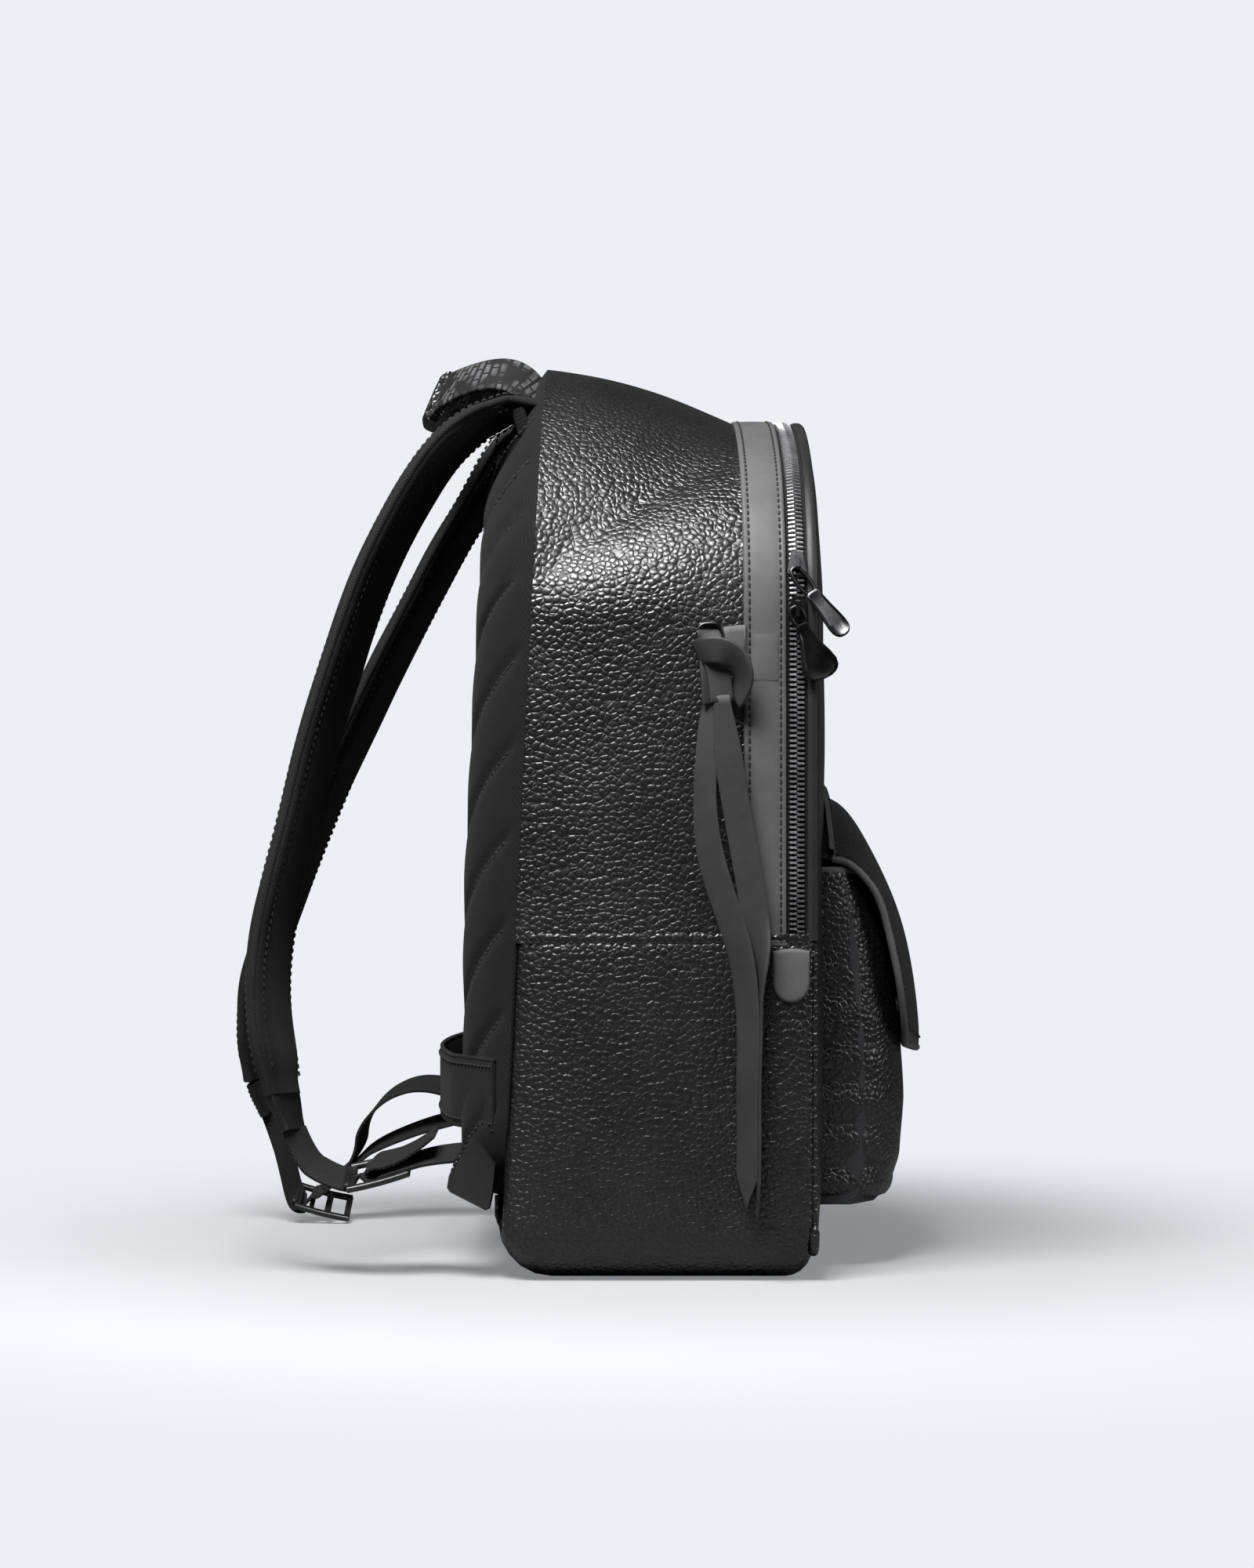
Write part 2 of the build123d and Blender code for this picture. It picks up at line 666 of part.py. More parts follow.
with BuildPart() as handle_webbing:
    add(handle_loop())
    with BuildSketch(Plane.YZ.offset(-60)):
        with BuildLine():
            Polyline(
                (60, 407.5), (60, 412), (72, 424), (112, 424), (112, 400), (84, 400), (66, 407.5),
                close=True,
            )
        make_face()
    extrude(amount=120, mode=Mode.INTERSECT)
save(handle_webbing, "handle_webbing")

with BuildPart() as handle_wrap:
    add(handle_loop(1.8))
    add(slab((-17, 90, 398.4), (17, 120, 425.6)), mode=Mode.INTERSECT)
    add(handle_webbing.part, mode=Mode.SUBTRACT)
save(handle_wrap, "handle_wrap")

# ---------------------------------------------------------------- side rings and laces

LACE_TUBE_RADIUS = 1.5
TAB_FACE = HALF_WIDTH + 0.9
LACE_A = [
    (146.5, -27.5, 257.5), (146.4, -29.5, 236), (146.6, -33.5, 212), (146.8, -38.2, 186),
    (147, -42.5, 161), (147.2, -44.6, 138), (147.6, -44.3, 112), (147.8, -43.5, 84),
    (148, -43.7, 55), (147.9, -43, 27),
]
LACE_B = [
    (143, -24, 257.4), (142.9, -21, 240), (142.9, -19.2, 219), (143, -20.4, 198),
    (143.4, -25.5, 177), (144, -32, 158.5), (145, -37.6, 139), (146, -39.6, 114),
    (146.6, -39.1, 86), (147, -39.4, 58), (146.9, -38.6, 33),
]


def lace_tube(route, side):
    """Round stand-in for one lace tail: straight runs joined by the largest tangent arcs."""
    points = [Vector(side * x, y, z) for x, y, z in route]
    radii = []
    for before, point, after in zip(points, points[1:], points[2:]):
        run_in, run_out = point - before, after - point
        turn = radians(run_in.get_angle(run_out))
        radii.append(0.45 * min(run_in.length, run_out.length) / tan(turn / 2))
    with BuildPart() as tube:
        with BuildLine() as path:
            FilletPolyline(*points, radius=radii)
        with BuildSketch(Plane(origin=path.wire() @ 0, z_dir=path.wire() % 0)):
            Circle(LACE_TUBE_RADIUS)
        sweep()
    return tube.part


for label, side in (("left", -1), ("right", 1)):
    wall = Plane.YZ.offset(side * TAB_FACE)
    with BuildPart() as lace_tab:
        with BuildSketch(wall):
            with Locations((-35.5, 281)):
                RectangleRounded(15, 16, 1.5)
        extrude(amount=side * 2.0)
    save(lace_tab, f"lace_tab_{label}")

    with BuildPart() as d_ring:
        with BuildSketch(wall):
            with Locations((-22, 281)):
                RectangleRounded(12, 18, 4)
                RectangleRounded(8.4, 14.4, 3, mode=Mode.SUBTRACT)
        extrude(amount=side * 1.8)
    save(d_ring, f"d_ring_{label}")

    with BuildPart() as lace_knot:
        with BuildSketch(Plane.XY.offset(258)):
            with Locations((side * (TAB_FACE + 3.8), -26)):
                RectangleRounded(7.6, 13, 2)
        extrude(amount=14)
        fillet(edges().group_by(Axis.Z)[-1], 2)
    save(lace_knot, f"lace_knot_{label}")

    for name, route in (("a", LACE_A), ("b", LACE_B)):
        with BuildPart() as tail:
            add(lace_tube(route, side))
        save(tail, f"lace_tail_{name}_{label}")
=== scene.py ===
"""Leather backpack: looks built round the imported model.

Every size and point below is in millimetres until a mesh is made; the scene is in metres.
The origin is the middle of the base. +Z is up, -Y is the pocket side, +Y the wearer's back.
"""

import json
import logging
import math
from collections.abc import Callable, Sequence
from dataclasses import dataclass, field
from enum import Enum

import bpy
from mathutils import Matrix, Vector, noise

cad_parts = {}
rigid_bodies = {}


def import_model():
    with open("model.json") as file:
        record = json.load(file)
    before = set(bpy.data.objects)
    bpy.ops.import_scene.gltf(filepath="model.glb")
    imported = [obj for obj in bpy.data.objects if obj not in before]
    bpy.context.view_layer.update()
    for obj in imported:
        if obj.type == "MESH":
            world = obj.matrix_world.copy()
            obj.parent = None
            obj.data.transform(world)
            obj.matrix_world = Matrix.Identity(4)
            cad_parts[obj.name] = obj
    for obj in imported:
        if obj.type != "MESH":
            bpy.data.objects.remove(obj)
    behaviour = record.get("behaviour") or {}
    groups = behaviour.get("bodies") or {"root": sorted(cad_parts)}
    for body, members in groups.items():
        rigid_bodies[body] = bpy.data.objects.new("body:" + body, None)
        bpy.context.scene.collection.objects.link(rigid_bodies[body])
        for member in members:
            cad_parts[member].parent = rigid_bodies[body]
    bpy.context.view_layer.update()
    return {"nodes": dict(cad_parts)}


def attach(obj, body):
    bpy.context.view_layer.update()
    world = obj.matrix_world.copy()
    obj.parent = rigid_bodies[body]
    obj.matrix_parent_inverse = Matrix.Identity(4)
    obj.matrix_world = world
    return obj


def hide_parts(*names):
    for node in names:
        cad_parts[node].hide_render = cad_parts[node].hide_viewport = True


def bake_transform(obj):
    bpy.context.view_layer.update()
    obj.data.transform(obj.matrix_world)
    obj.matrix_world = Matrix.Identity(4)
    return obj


log = logging.getLogger("backpack")

MM = 0.001
LAY = "lay"

Colour = tuple[float, float, float]
Point = tuple[float, float, float]
Section = list[tuple[float, float]]


class Body(Enum):
    """Moving bodies of the bag."""

    BAG = "bag"
    PANEL = "front_panel"
    FLAP = "pocket_flap"
    SLIDER_UPPER = "zip_slider_upper"
    SLIDER_LOWER = "zip_slider_lower"
    PULL_UPPER = "zip_pull_upper"
    PULL_LOWER = "zip_pull_lower"
    HANDLE = "top_handle"
    STRAP_LEFT = "strap_left"
    STRAP_RIGHT = "strap_right"
    BUCKLE_LEFT = "buckle_left"
    BUCKLE_RIGHT = "buckle_right"
    LACE_LEFT = "lace_left"
    LACE_RIGHT = "lace_right"


class Slot(Enum):
    """Material slots of the record."""

    PEBBLED = "pebbled_leather"
    SMOOTH = "smooth_leather"
    LACE = "lace_leather"
    TAPE = "zip_tape"
    ZIP_METAL = "zip_metal"
    DARK_METAL = "dark_metal"
    SNAP = "snap_metal"
    QUILTED = "quilted_fabric"
    STRAP = "strap_fabric"
    WEBBING = "webbing"
    HANDLE = "handle_webbing"
    LINING = "lining_cloth"
    FOAM = "foam"
    BOARD = "board"


class Side(Enum):
    """Left and right sets, with the sign of their X."""

    LEFT = -1
    RIGHT = 1

    @property
    def label(self) -> str:
        """Lower-case name used in node names."""
        return self.name.lower()


# ---------------------------------------------------------------- finishes


class Pen:
    """Draws one procedural material, node by node."""

    def __init__(self, name: str) -> None:
        """Start an empty surface material.

        Args:
            name: name of the material.
        """
        self.material = bpy.data.materials.new(name)
        self.material.use_nodes = True
        self.tree = self.material.node_tree
        self.surface = self.tree.nodes["Principled BSDF"]

    def node(self, kind: str, inputs: dict | None = None, **settings: object) -> bpy.types.Node:
        """Add a node.

        Args:
            kind: node type without its ShaderNode prefix.
            inputs: socket values or sockets to link, by socket name or index.
            **settings: properties of the node itself.

        Returns:
            The new node.
        """
        made = self.tree.nodes.new("ShaderNode" + kind)
        for name, value in settings.items():
            setattr(made, name, value)
        for key, value in (inputs or {}).items():
            self.feed(made.inputs[key], value)
        return made

    def feed(self, socket: bpy.types.NodeSocket, value: object) -> None:
        """Link a socket into another, or set its value."""
        if isinstance(value, bpy.types.NodeSocket):
            self.tree.links.new(value, socket)
        else:
            socket.default_value = value

    def place(self) -> bpy.types.NodeSocket:
        """Object coordinates, in metres."""
        return self.node("TexCoord").outputs["Object"]

    def lay(self) -> bpy.types.NodeSocket:
        """Coordinates along a strip: across, along, in metres."""
        return self.node("Attribute", attribute_name=LAY).outputs["Vector"]

    def split(self, vector: bpy.types.NodeSocket) -> tuple[bpy.types.NodeSocket, ...]:
        """X, Y and Z of a vector socket."""
        outputs = self.node("SeparateXYZ", {0: vector}).outputs
        return outputs[0], outputs[1], outputs[2]

    def noise(
        self, at: bpy.types.NodeSocket, scale: float, detail: float = 2.0, rough: float = 0.5
    ) -> bpy.types.NodeSocket:
        """Soft noise from 0 to 1."""
        settings = {"Vector": at, "Scale": scale, "Detail": detail, "Roughness": rough}
        return self.node("TexNoise", settings).outputs[0]

    def cells(
        self, at: bpy.types.NodeSocket, scale: float, feature: str = "F1"
    ) -> bpy.types.NodeSocket:
        """Distance output of a cell pattern."""
        made = self.node("TexVoronoi", {"Vector": at, "Scale": scale}, feature=feature)
        return made.outputs["Distance"]

    def sums(self, operation: str, first: object, second: object = 0.0) -> bpy.types.NodeSocket:
        """Arithmetic on one or two values."""
        return self.node("Math", {0: first, 1: second}, operation=operation).outputs[0]

    def shift(
        self, at: bpy.types.NodeSocket, scale: float, amount: float
    ) -> bpy.types.NodeSocket:
        """Coordinates disturbed by noise.

        Args:
            at: the coordinates.
            scale: scale of the noise.
            amount: how far a point moves, in metres.

        Returns:
            The disturbed coordinates.
        """
        wander = self.node("TexNoise", {"Vector": at, "Scale": scale}).outputs["Color"]
        scaled = self.node("VectorMath", {0: wander, "Scale": amount}, operation="SCALE")
        return self.node("VectorMath", {0: at, 1: scaled.outputs[0]}, operation="ADD").outputs[0]

    def remap(
        self,
        value: bpy.types.NodeSocket,
        source: tuple[float, float],
        target: tuple[float, float],
        smooth: bool = False,
    ) -> bpy.types.NodeSocket:
        """Value carried from one range to another."""
        inputs = {
            "Value": value,
            "From Min": source[0],
            "From Max": source[1],
            "To Min": target[0],
            "To Max": target[1],
        }
        kind = "SMOOTHSTEP" if smooth else "LINEAR"
        return self.node("MapRange", inputs, interpolation_type=kind).outputs[0]

    def blend(self, share: object, first: Colour, second: Colour) -> bpy.types.NodeSocket:
        """Colour between two colours."""
        made = self.node("Mix", data_type="RGBA")
        self.feed(made.inputs[0], share)
        made.inputs[6].default_value = (*first, 1.0)
        made.inputs[7].default_value = (*second, 1.0)
        return made.outputs[2]

    def bump(
        self, height: bpy.types.NodeSocket, depth: float, after: object = None
    ) -> bpy.types.NodeSocket:
        """Relief of a height from 0 to 1.

        Args:
            height: the height socket.
            depth: depth of the relief, in metres.
            after: normal socket of an earlier relief.

        Returns:
            The normal socket.
        """
        made = self.node("Bump", {"Height": height, "Distance": depth, "Strength": 1.0})
        if after is not None:
            self.feed(made.inputs["Normal"], after)
        return made.outputs[0]

    def set(self, **sockets: object) -> None:
        """Set or link sockets of the surface, with spaces written as underscores."""
        for name, value in sockets.items():
            self.feed(self.surface.inputs[name.replace("_", " ")], value)

    def weave(
        self, at: bpy.types.NodeSocket, pitch: float, skew: float = 0.0
    ) -> bpy.types.NodeSocket:
        """Height of a plain or twill weave.

        Args:
            at: coordinates in metres, of which the first two are used.
            pitch: distance between threads, in metres.
            skew: how much each pick steps sideways, which turns plain weave to twill.

        Returns:
            Height from 0 to 1.
        """
        x, y, _ = self.split(at)
        turn = math.pi / pitch
        leaning = self.sums("ADD", self.sums("MULTIPLY", y, turn * skew), 0.0)
        warp = self.sums("SINE", self.sums("ADD", self.sums("MULTIPLY", x, turn), leaning))
        weft = self.sums("SINE", self.sums("MULTIPLY", y, turn))
        product = self.sums("MULTIPLY", warp, weft)
        return self.remap(product, (-1.0, 1.0), (0.0, 1.0))


@dataclass(frozen=True)
class Finish:
    """One finish of the bag. The material is made once and shared."""

    name: str
    slot: Slot

    def draw(self, pen: Pen) -> None:
        """Draw the material's nodes."""
        raise NotImplementedError

    def material(self) -> bpy.types.Material:
        """The finish's material, made the first time that it is asked for."""
        found = bpy.data.materials.get(self.name)
        if found is None:
            pen = Pen(self.name)
            self.draw(pen)
            found = pen.material
        return found

    def dress(self, obj: bpy.types.Object) -> None:
        """Give an object this finish alone."""
        obj.data.materials.clear()
        obj.data.materials.append(self.material())


@dataclass(frozen=True)
class PebbledLeather(Finish):
    """Tumbled leather with raised pebbles; its creases are painted darker, as painted shade."""

    pebble: float = 0.0027
    depth: float = 0.00038
    # dark is the painted shade colour in the creases; light is the colour of the pebble tops
    dark: Colour = (0.0015, 0.0015, 0.0016)
    light: Colour = (0.008, 0.008, 0.0085)
    gloss: tuple[float, float] = (0.42, 0.28)

    def draw(self, pen: Pen) -> None:
        """Draw the material's nodes."""
        place = pen.place()
        wandered = pen.shift(place, 240.0, 0.0009)
        scale = 1.0 / self.pebble
        edge = pen.cells(wandered, scale, "DISTANCE_TO_EDGE")
        body = pen.remap(edge, (0.01, 0.24), (0.0, 1.0), smooth=True)
        middle = pen.cells(wandered, scale)
        dome = pen.sums("SUBTRACT", 1.0, pen.sums("MULTIPLY", pen.sums("MULTIPLY", middle, middle), 1.5))
        fine = pen.noise(place, 4200.0, 3.0)
        height = pen.sums("ADD", pen.sums("MULTIPLY", body, 0.36), pen.sums("MULTIPLY", dome, 0.64))
        relief = pen.bump(height, self.depth)
        relief = pen.bump(fine, 0.000014, relief)
        cloud = pen.noise(place, 22.0, 3.0)
        # tone darkens the creases towards dark as painted shade; the cloud adds random tone variation
        tone = pen.sums("MULTIPLY", body, pen.remap(cloud, (0.3, 0.7), (0.55, 0.95)))
        pen.set(
            Base_Color=pen.blend(tone, self.dark, self.light),
            Roughness=pen.sums(
                "ADD",
                pen.remap(body, (0.0, 1.0), self.gloss),
                pen.remap(cloud, (0.3, 0.7), (-0.04, 0.05)),
            ),
            Normal=relief,
        )
        pen.set(Specular_IOR_Level=0.47)


@dataclass(frozen=True)
class SmoothLeather(Finish):
    """Flat finished leather with a faint grain and polished wear."""

    base: Colour = (0.050, 0.050, 0.051)
    worn: Colour = (0.064, 0.064, 0.065)
    gloss: float = 0.52

    def draw(self, pen: Pen) -> None:
        """Draw the material's nodes."""
        place = pen.place()
        cloud = pen.noise(place, 38.0, 4.0, 0.6)
        grain = pen.cells(pen.shift(place, 1500.0, 0.0002), 2600.0, "DISTANCE_TO_EDGE")
        pores = pen.remap(grain, (0.0, 0.2), (0.0, 1.0), smooth=True)
        swell = pen.noise(place, 130.0, 2.0)
        relief = pen.bump(swell, 0.0002)
        relief = pen.bump(pores, 0.000018, relief)
        pen.set(
            Base_Color=pen.blend(pen.remap(cloud, (0.35, 0.65), (0.0, 1.0)), self.base, self.worn),
            Roughness=pen.remap(cloud, (0.3, 0.7), (self.gloss + 0.06, self.gloss - 0.05)),
            Normal=relief,
        )
        pen.set(Specular_IOR_Level=0.22)


@dataclass(frozen=True)
class Woven(Finish):
    """Cloth with visible threads, placed by the object's own coordinates."""

    dark: Colour = (0.002, 0.002, 0.0022)
    light: Colour = (0.0075, 0.0075, 0.008)
    pitch: float = 0.0007
    skew: float = 0.5
    depth: float = 0.00016
    sheen: float = 0.02

    def coordinates(self, pen: Pen) -> bpy.types.NodeSocket:
        """Coordinates of the threads: across the bag, and up plus back."""
        x, y, z = pen.split(pen.place())
        up = pen.sums("ADD", z, pen.sums("MULTIPLY", y, 0.6))
        return pen.node("CombineXYZ", {0: x, 1: up}).outputs[0]

    def draw(self, pen: Pen) -> None:
        """Draw the material's nodes."""
        threads = pen.weave(self.coordinates(pen), self.pitch, self.skew)
        fuzz = pen.noise(pen.place(), 1400.0, 3.0, 0.7)
        cloud = pen.noise(pen.place(), 26.0, 3.0)
        height = pen.sums("ADD", pen.sums("MULTIPLY", threads, 0.8), pen.sums("MULTIPLY", fuzz, 0.3))
        tone = pen.sums("MULTIPLY", threads, pen.remap(cloud, (0.3, 0.7), (0.6, 1.0)))
        pen.set(
            Base_Color=pen.blend(tone, self.dark, self.light),
            Roughness=pen.remap(fuzz, (0.2, 0.8), (0.72, 0.92)),
            Normal=pen.bump(height, self.depth),
        )
        pen.set(Sheen_Weight=self.sheen, Sheen_Roughness=0.5, Specular_IOR_Level=0.14)


@dataclass(frozen=True)
class Ribbed(Woven):
    """Webbing with ribs across it, placed by the strip's own length."""

    pitch: float = 0.0011
    skew: float = 0.0
    depth: float = 0.00028

    def coordinates(self, pen: Pen) -> bpy.types.NodeSocket:
        """Coordinates along the strip."""
        return pen.lay()


@dataclass(frozen=True)
class Jacquard(Finish):
    """Webbing with a woven field of small offset bars."""

    ground: Colour = (0.004, 0.004, 0.0045)
    figure: Colour = (0.075, 0.075, 0.078)

    def draw(self, pen: Pen) -> None:
        """Draw the material's nodes."""
        lay = pen.lay()
        bricks = pen.node(
            "TexBrick",
            {
                "Vector": lay,
                "Scale": 1.0,
                "Mortar Size": 0.00075,
                "Mortar Smooth": 0.15,
                "Brick Width": 0.0085,
                "Row Height": 0.0038,
            },
            offset=0.5,
        ).outputs["Fac"]
        patches = pen.remap(pen.noise(lay, 75.0, 1.0), (0.44, 0.56), (0.0, 1.0))
        threads = pen.weave(lay, 0.0006, 0.5)
        bars = pen.sums("MULTIPLY", pen.sums("SUBTRACT", 1.0, bricks), patches)
        tone = pen.sums("MULTIPLY", bars, pen.remap(threads, (0.0, 1.0), (0.35, 1.0)))
        pen.set(
            Base_Color=pen.blend(tone, self.ground, self.figure),
            Roughness=pen.remap(threads, (0.0, 1.0), (0.85, 0.6)),
            Normal=pen.bump(pen.sums("ADD", threads, pen.sums("MULTIPLY", bars, 0.5)), 0.0002),
        )
        pen.set(Specular_IOR_Level=0.2)


@dataclass(frozen=True)
class Metal(Finish):
    """Plated metal with fine scuffs."""

    tone: Colour = (0.26, 0.26, 0.27)
    worn: Colour = (0.42, 0.42, 0.43)
    gloss: float = 0.42

    def draw(self, pen: Pen) -> None:
        """Draw the material's nodes."""
        place = pen.place()
        scuff = pen.noise(place, 900.0, 5.0, 0.7)
        cloud = pen.noise(place, 60.0, 2.0)
        share = pen.remap(pen.sums("MULTIPLY", scuff, cloud), (0.15, 0.4), (0.0, 1.0))
        pen.set(
            Base_Color=pen.blend(share, self.tone, self.worn),
            Roughness=pen.remap(cloud, (0.3, 0.7), (self.gloss - 0.04, self.gloss + 0.06)),
            Normal=pen.bump(scuff, 0.000002),
        )
        pen.set(Metallic=1.0)


@dataclass(frozen=True)
class Moulded(Finish):
    """Matt moulded plastic or pressed board."""

    base: Colour = (0.010, 0.010, 0.011)
    worn: Colour = (0.022, 0.022, 0.024)
    gloss: float = 0.42
    grain: float = 1800.0

    def draw(self, pen: Pen) -> None:
        """Draw the material's nodes."""
        place = pen.place()
        grain = pen.noise(place, self.grain, 3.0, 0.65)
        cloud = pen.noise(place, 80.0, 3.0)
        pen.set(
            Base_Color=pen.blend(pen.remap(cloud, (0.35, 0.65), (0.0, 1.0)), self.base, self.worn),
            Roughness=pen.remap(grain, (0.3, 0.7), (self.gloss, self.gloss + 0.15)),
            Normal=pen.bump(grain, 0.00004),
        )


@dataclass(frozen=True)
class Floor(Finish):
    """Pale studio floor that fades out far from the bag."""

    shade: Colour = (0.21, 0.212, 0.217)
    glow: tuple[float, float] = (0.22, 0.41)
    clear: tuple[float, float] = (0.20, 0.58)

    def draw(self, pen: Pen) -> None:
        """Draw the material's nodes."""
        place = pen.place()
        x, y, _ = pen.split(place)
        reach = pen.sums(
            "SQRT", pen.sums("ADD", pen.sums("MULTIPLY", x, x), pen.sums("MULTIPLY", y, y))
        )
        mottle = pen.noise(place, 3.0, 2.0)
        soft = tuple(0.985 * part for part in self.shade)
        seen = pen.node("LightPath").outputs["Is Camera Ray"]
        glow = pen.remap(reach, (0.16, 0.42), self.glow, smooth=True)
        pen.set(
            Base_Color=pen.blend(mottle, soft, self.shade),
            Alpha=pen.remap(reach, self.clear, (1.0, 0.0), smooth=True),
            Roughness=pen.remap(mottle, (0.0, 1.0), (0.85, 0.95)),
            Emission_Strength=pen.sums("MULTIPLY", seen, glow),
        )
        pen.set(Specular_IOR_Level=0.05, Emission_Color=(0.98, 1.0, 1.04, 1.0))


PEBBLED = PebbledLeather("pebbled black leather", Slot.PEBBLED)
SMOOTH = SmoothLeather("smooth trim leather", Slot.SMOOTH)
EDGE = SmoothLeather(
    "dark edge leather", Slot.SMOOTH, base=(0.008, 0.008, 0.008), worn=(0.014, 0.014, 0.014), gloss=0.4
)
LACE = SmoothLeather(
    "lace leather", Slot.LACE, base=(0.018, 0.018, 0.0185), worn=(0.026, 0.026, 0.027), gloss=0.42
)
TAPE = Woven(
    "zip tape cloth", Slot.TAPE, light=(0.014, 0.014, 0.015), pitch=0.0005, depth=0.00012
)
ZIP_METAL = Metal("zip teeth metal", Slot.ZIP_METAL)
DARK_METAL = Metal(
    "dark plated metal", Slot.DARK_METAL, tone=(0.030, 0.030, 0.032), worn=(0.06, 0.06, 0.063), gloss=0.3
)
SNAP_METAL = Metal("snap metal", Slot.SNAP, tone=(0.10, 0.10, 0.11), worn=(0.22, 0.22, 0.23))
QUILTED = Woven("quilted back cloth", Slot.QUILTED)
STRAP_CLOTH = Woven("strap cloth", Slot.STRAP, pitch=0.0006)
WEBBING = Ribbed("ribbed webbing", Slot.WEBBING, light=(0.016, 0.016, 0.017))
BINDING = Ribbed("edge binding tape", Slot.STRAP, pitch=0.0008, light=(0.012, 0.012, 0.013))
HANDLE_CLOTH = Jacquard("patterned handle webbing", Slot.HANDLE)
LINING = Woven(
    "lining cloth", Slot.LINING, dark=(0.016, 0.016, 0.018), light=(0.05, 0.05, 0.055), pitch=0.0004
)
FOAM = Moulded("foam", Slot.FOAM, base=(0.02, 0.02, 0.022), worn=(0.03, 0.03, 0.033), gloss=0.8)
BOARD = Moulded("pressed board", Slot.BOARD, base=(0.03, 0.027, 0.024), gloss=0.7, grain=700.0)
BUCKLE = Moulded(
    "buckle plastic", Slot.DARK_METAL, base=(0.003, 0.003, 0.003), worn=(0.008, 0.008, 0.008), gloss=0.3
)
THREAD = Moulded("black thread", Slot.SMOOTH, base=(0.001, 0.001, 0.001), worn=(0.004, 0.004, 0.004), gloss=0.85)
FLOOR = Floor("studio floor", Slot.LINING)


# ---------------------------------------------------------------- lines and sections


def smooth(share: float) -> float:
    """Smooth step of a share, held between 0 and 1."""
    held = min(max(share, 0.0), 1.0)
    return held * held * (3.0 - 2.0 * held)


def oval(width: float, thickness: float, square: float = 1.0, count: int = 16) -> Section:
    """Rounded section of a strip or tube.

    Args:
        width: size across.
        thickness: size through.
        square: 1 for an ellipse, less for a boxier section.
        count: number of points.

    Returns:
        Points across and through, in order round the section.
    """
    points = []
    for i in range(count):
        turn = 2.0 * math.pi * (i + 0.5) / count
        c, s = math.cos(turn), math.sin(turn)
        points.append(
            (
                0.5 * width * math.copysign(abs(c) ** square, c),
                0.5 * thickness * math.copysign(abs(s) ** square, s),
            )
        )
    return points


def tangents(path: Sequence[Vector]) -> list[Vector]:
    """Unit direction of travel at every point of a line."""
    last = len(path) - 1
    return [(path[min(i + 1, last)] - path[max(i - 1, 0)]).normalized() for i in range(last + 1)]


def flowing(route: Sequence[Point], per_run: int = 8) -> list[Vector]:
    """Smooth line that has a route's points as its control points.

    Args:
        route: the route's points.
        per_run: how many stations each run gets.

    Returns:
        Points along the line.
    """
    curve = bpy.data.curves.new("route", "CURVE")
    curve.dimensions = "3D"
    curve.resolution_u = per_run
    spline = curve.splines.new("NURBS")
    spline.points.add(len(route) - 1)
    for control, point in zip(spline.points, route):
        control.co = (*(MM * part for part in point), 1.0)
    spline.order_u = 3
    spline.use_endpoint_u = True
    holder = bpy.data.objects.new("route", curve)
    bpy.context.scene.collection.objects.link(holder)
    mesh = bpy.data.meshes.new_from_object(holder)
    line = [vertex.co / MM for vertex in mesh.vertices]
    bpy.data.objects.remove(holder)
    bpy.data.meshes.remove(mesh)
    bpy.data.curves.remove(curve)
    return line


def stations(
    path: Sequence[Vector], normals: Sequence[Vector], step: float
) -> list[tuple[Vector, Vector, Vector]]:
    """Even stations along a line.

    Args:
        path: points of the line.
        normals: outward direction at each point.
        step: distance between stations.

    Returns:
        Point, direction of travel and outward direction of each station.
    """
    found = []
    wanted, run = 0.5 * step, 0.0
    for a, b, m, n in zip(path, path[1:], normals, normals[1:]):
        length = (b - a).length
        while length > 1e-9 and wanted <= run + length:
            share = (wanted - run) / length
            found.append((a.lerp(b, share), (b - a) / length, m.lerp(n, share).normalized()))
            wanted += step
        run += length
    return found


@dataclass(frozen=True)
class Arch:
    """Outline of the bag seen from the front: straight sides, round shoulders, crown."""

    top: float = 394.0
    half: float = 140.0
    shoulder_z: float = 290.0
    shoulder_radius: float = 90.0

    def walk(
        self, inset: float, low: float, counts: tuple[int, int, int]
    ) -> list[tuple[float, float, float, float]]:
        """Points from the left foot over the crown to the right foot.

        Args:
            inset: how far inside the outline.
            low: height of both feet.
            counts: steps up a side, round a shoulder and over half the crown.

        Returns:
            X, Z and the outward normal's X, Z of each point.
        """
        half, small = self.half - inset, self.shoulder_radius - inset
        rise = self.top - inset - self.shoulder_z
        reach = half - small
        crown = (reach**2 + rise**2 - small**2) / (2.0 * (rise - small))
        crown_z = self.top - inset - crown
        turn = math.atan2(reach, self.shoulder_z - crown_z)
        left = []
        for i in range(counts[0]):
            left.append((-half, low + (self.shoulder_z - low) * i / counts[0], -1.0, 0.0))
        for i in range(counts[1]):
            angle = 0.5 * math.pi + (turn - 0.5 * math.pi) * i / counts[1]
            s, c = math.sin(angle), math.cos(angle)
            left.append((-reach - small * s, self.shoulder_z + small * c, -s, c))
        for i in range(counts[2]):
            angle = turn * (1.0 - i / counts[2])
            s, c = math.sin(angle), math.cos(angle)
            left.append((-crown * s, crown_z + crown * c, -s, c))
        right = [(-x, z, -nx, nz) for x, z, nx, nz in reversed(left)]
        return [*left, (0.0, self.top - inset, 0.0, 1.0), *right]


# ---------------------------------------------------------------- mesh building


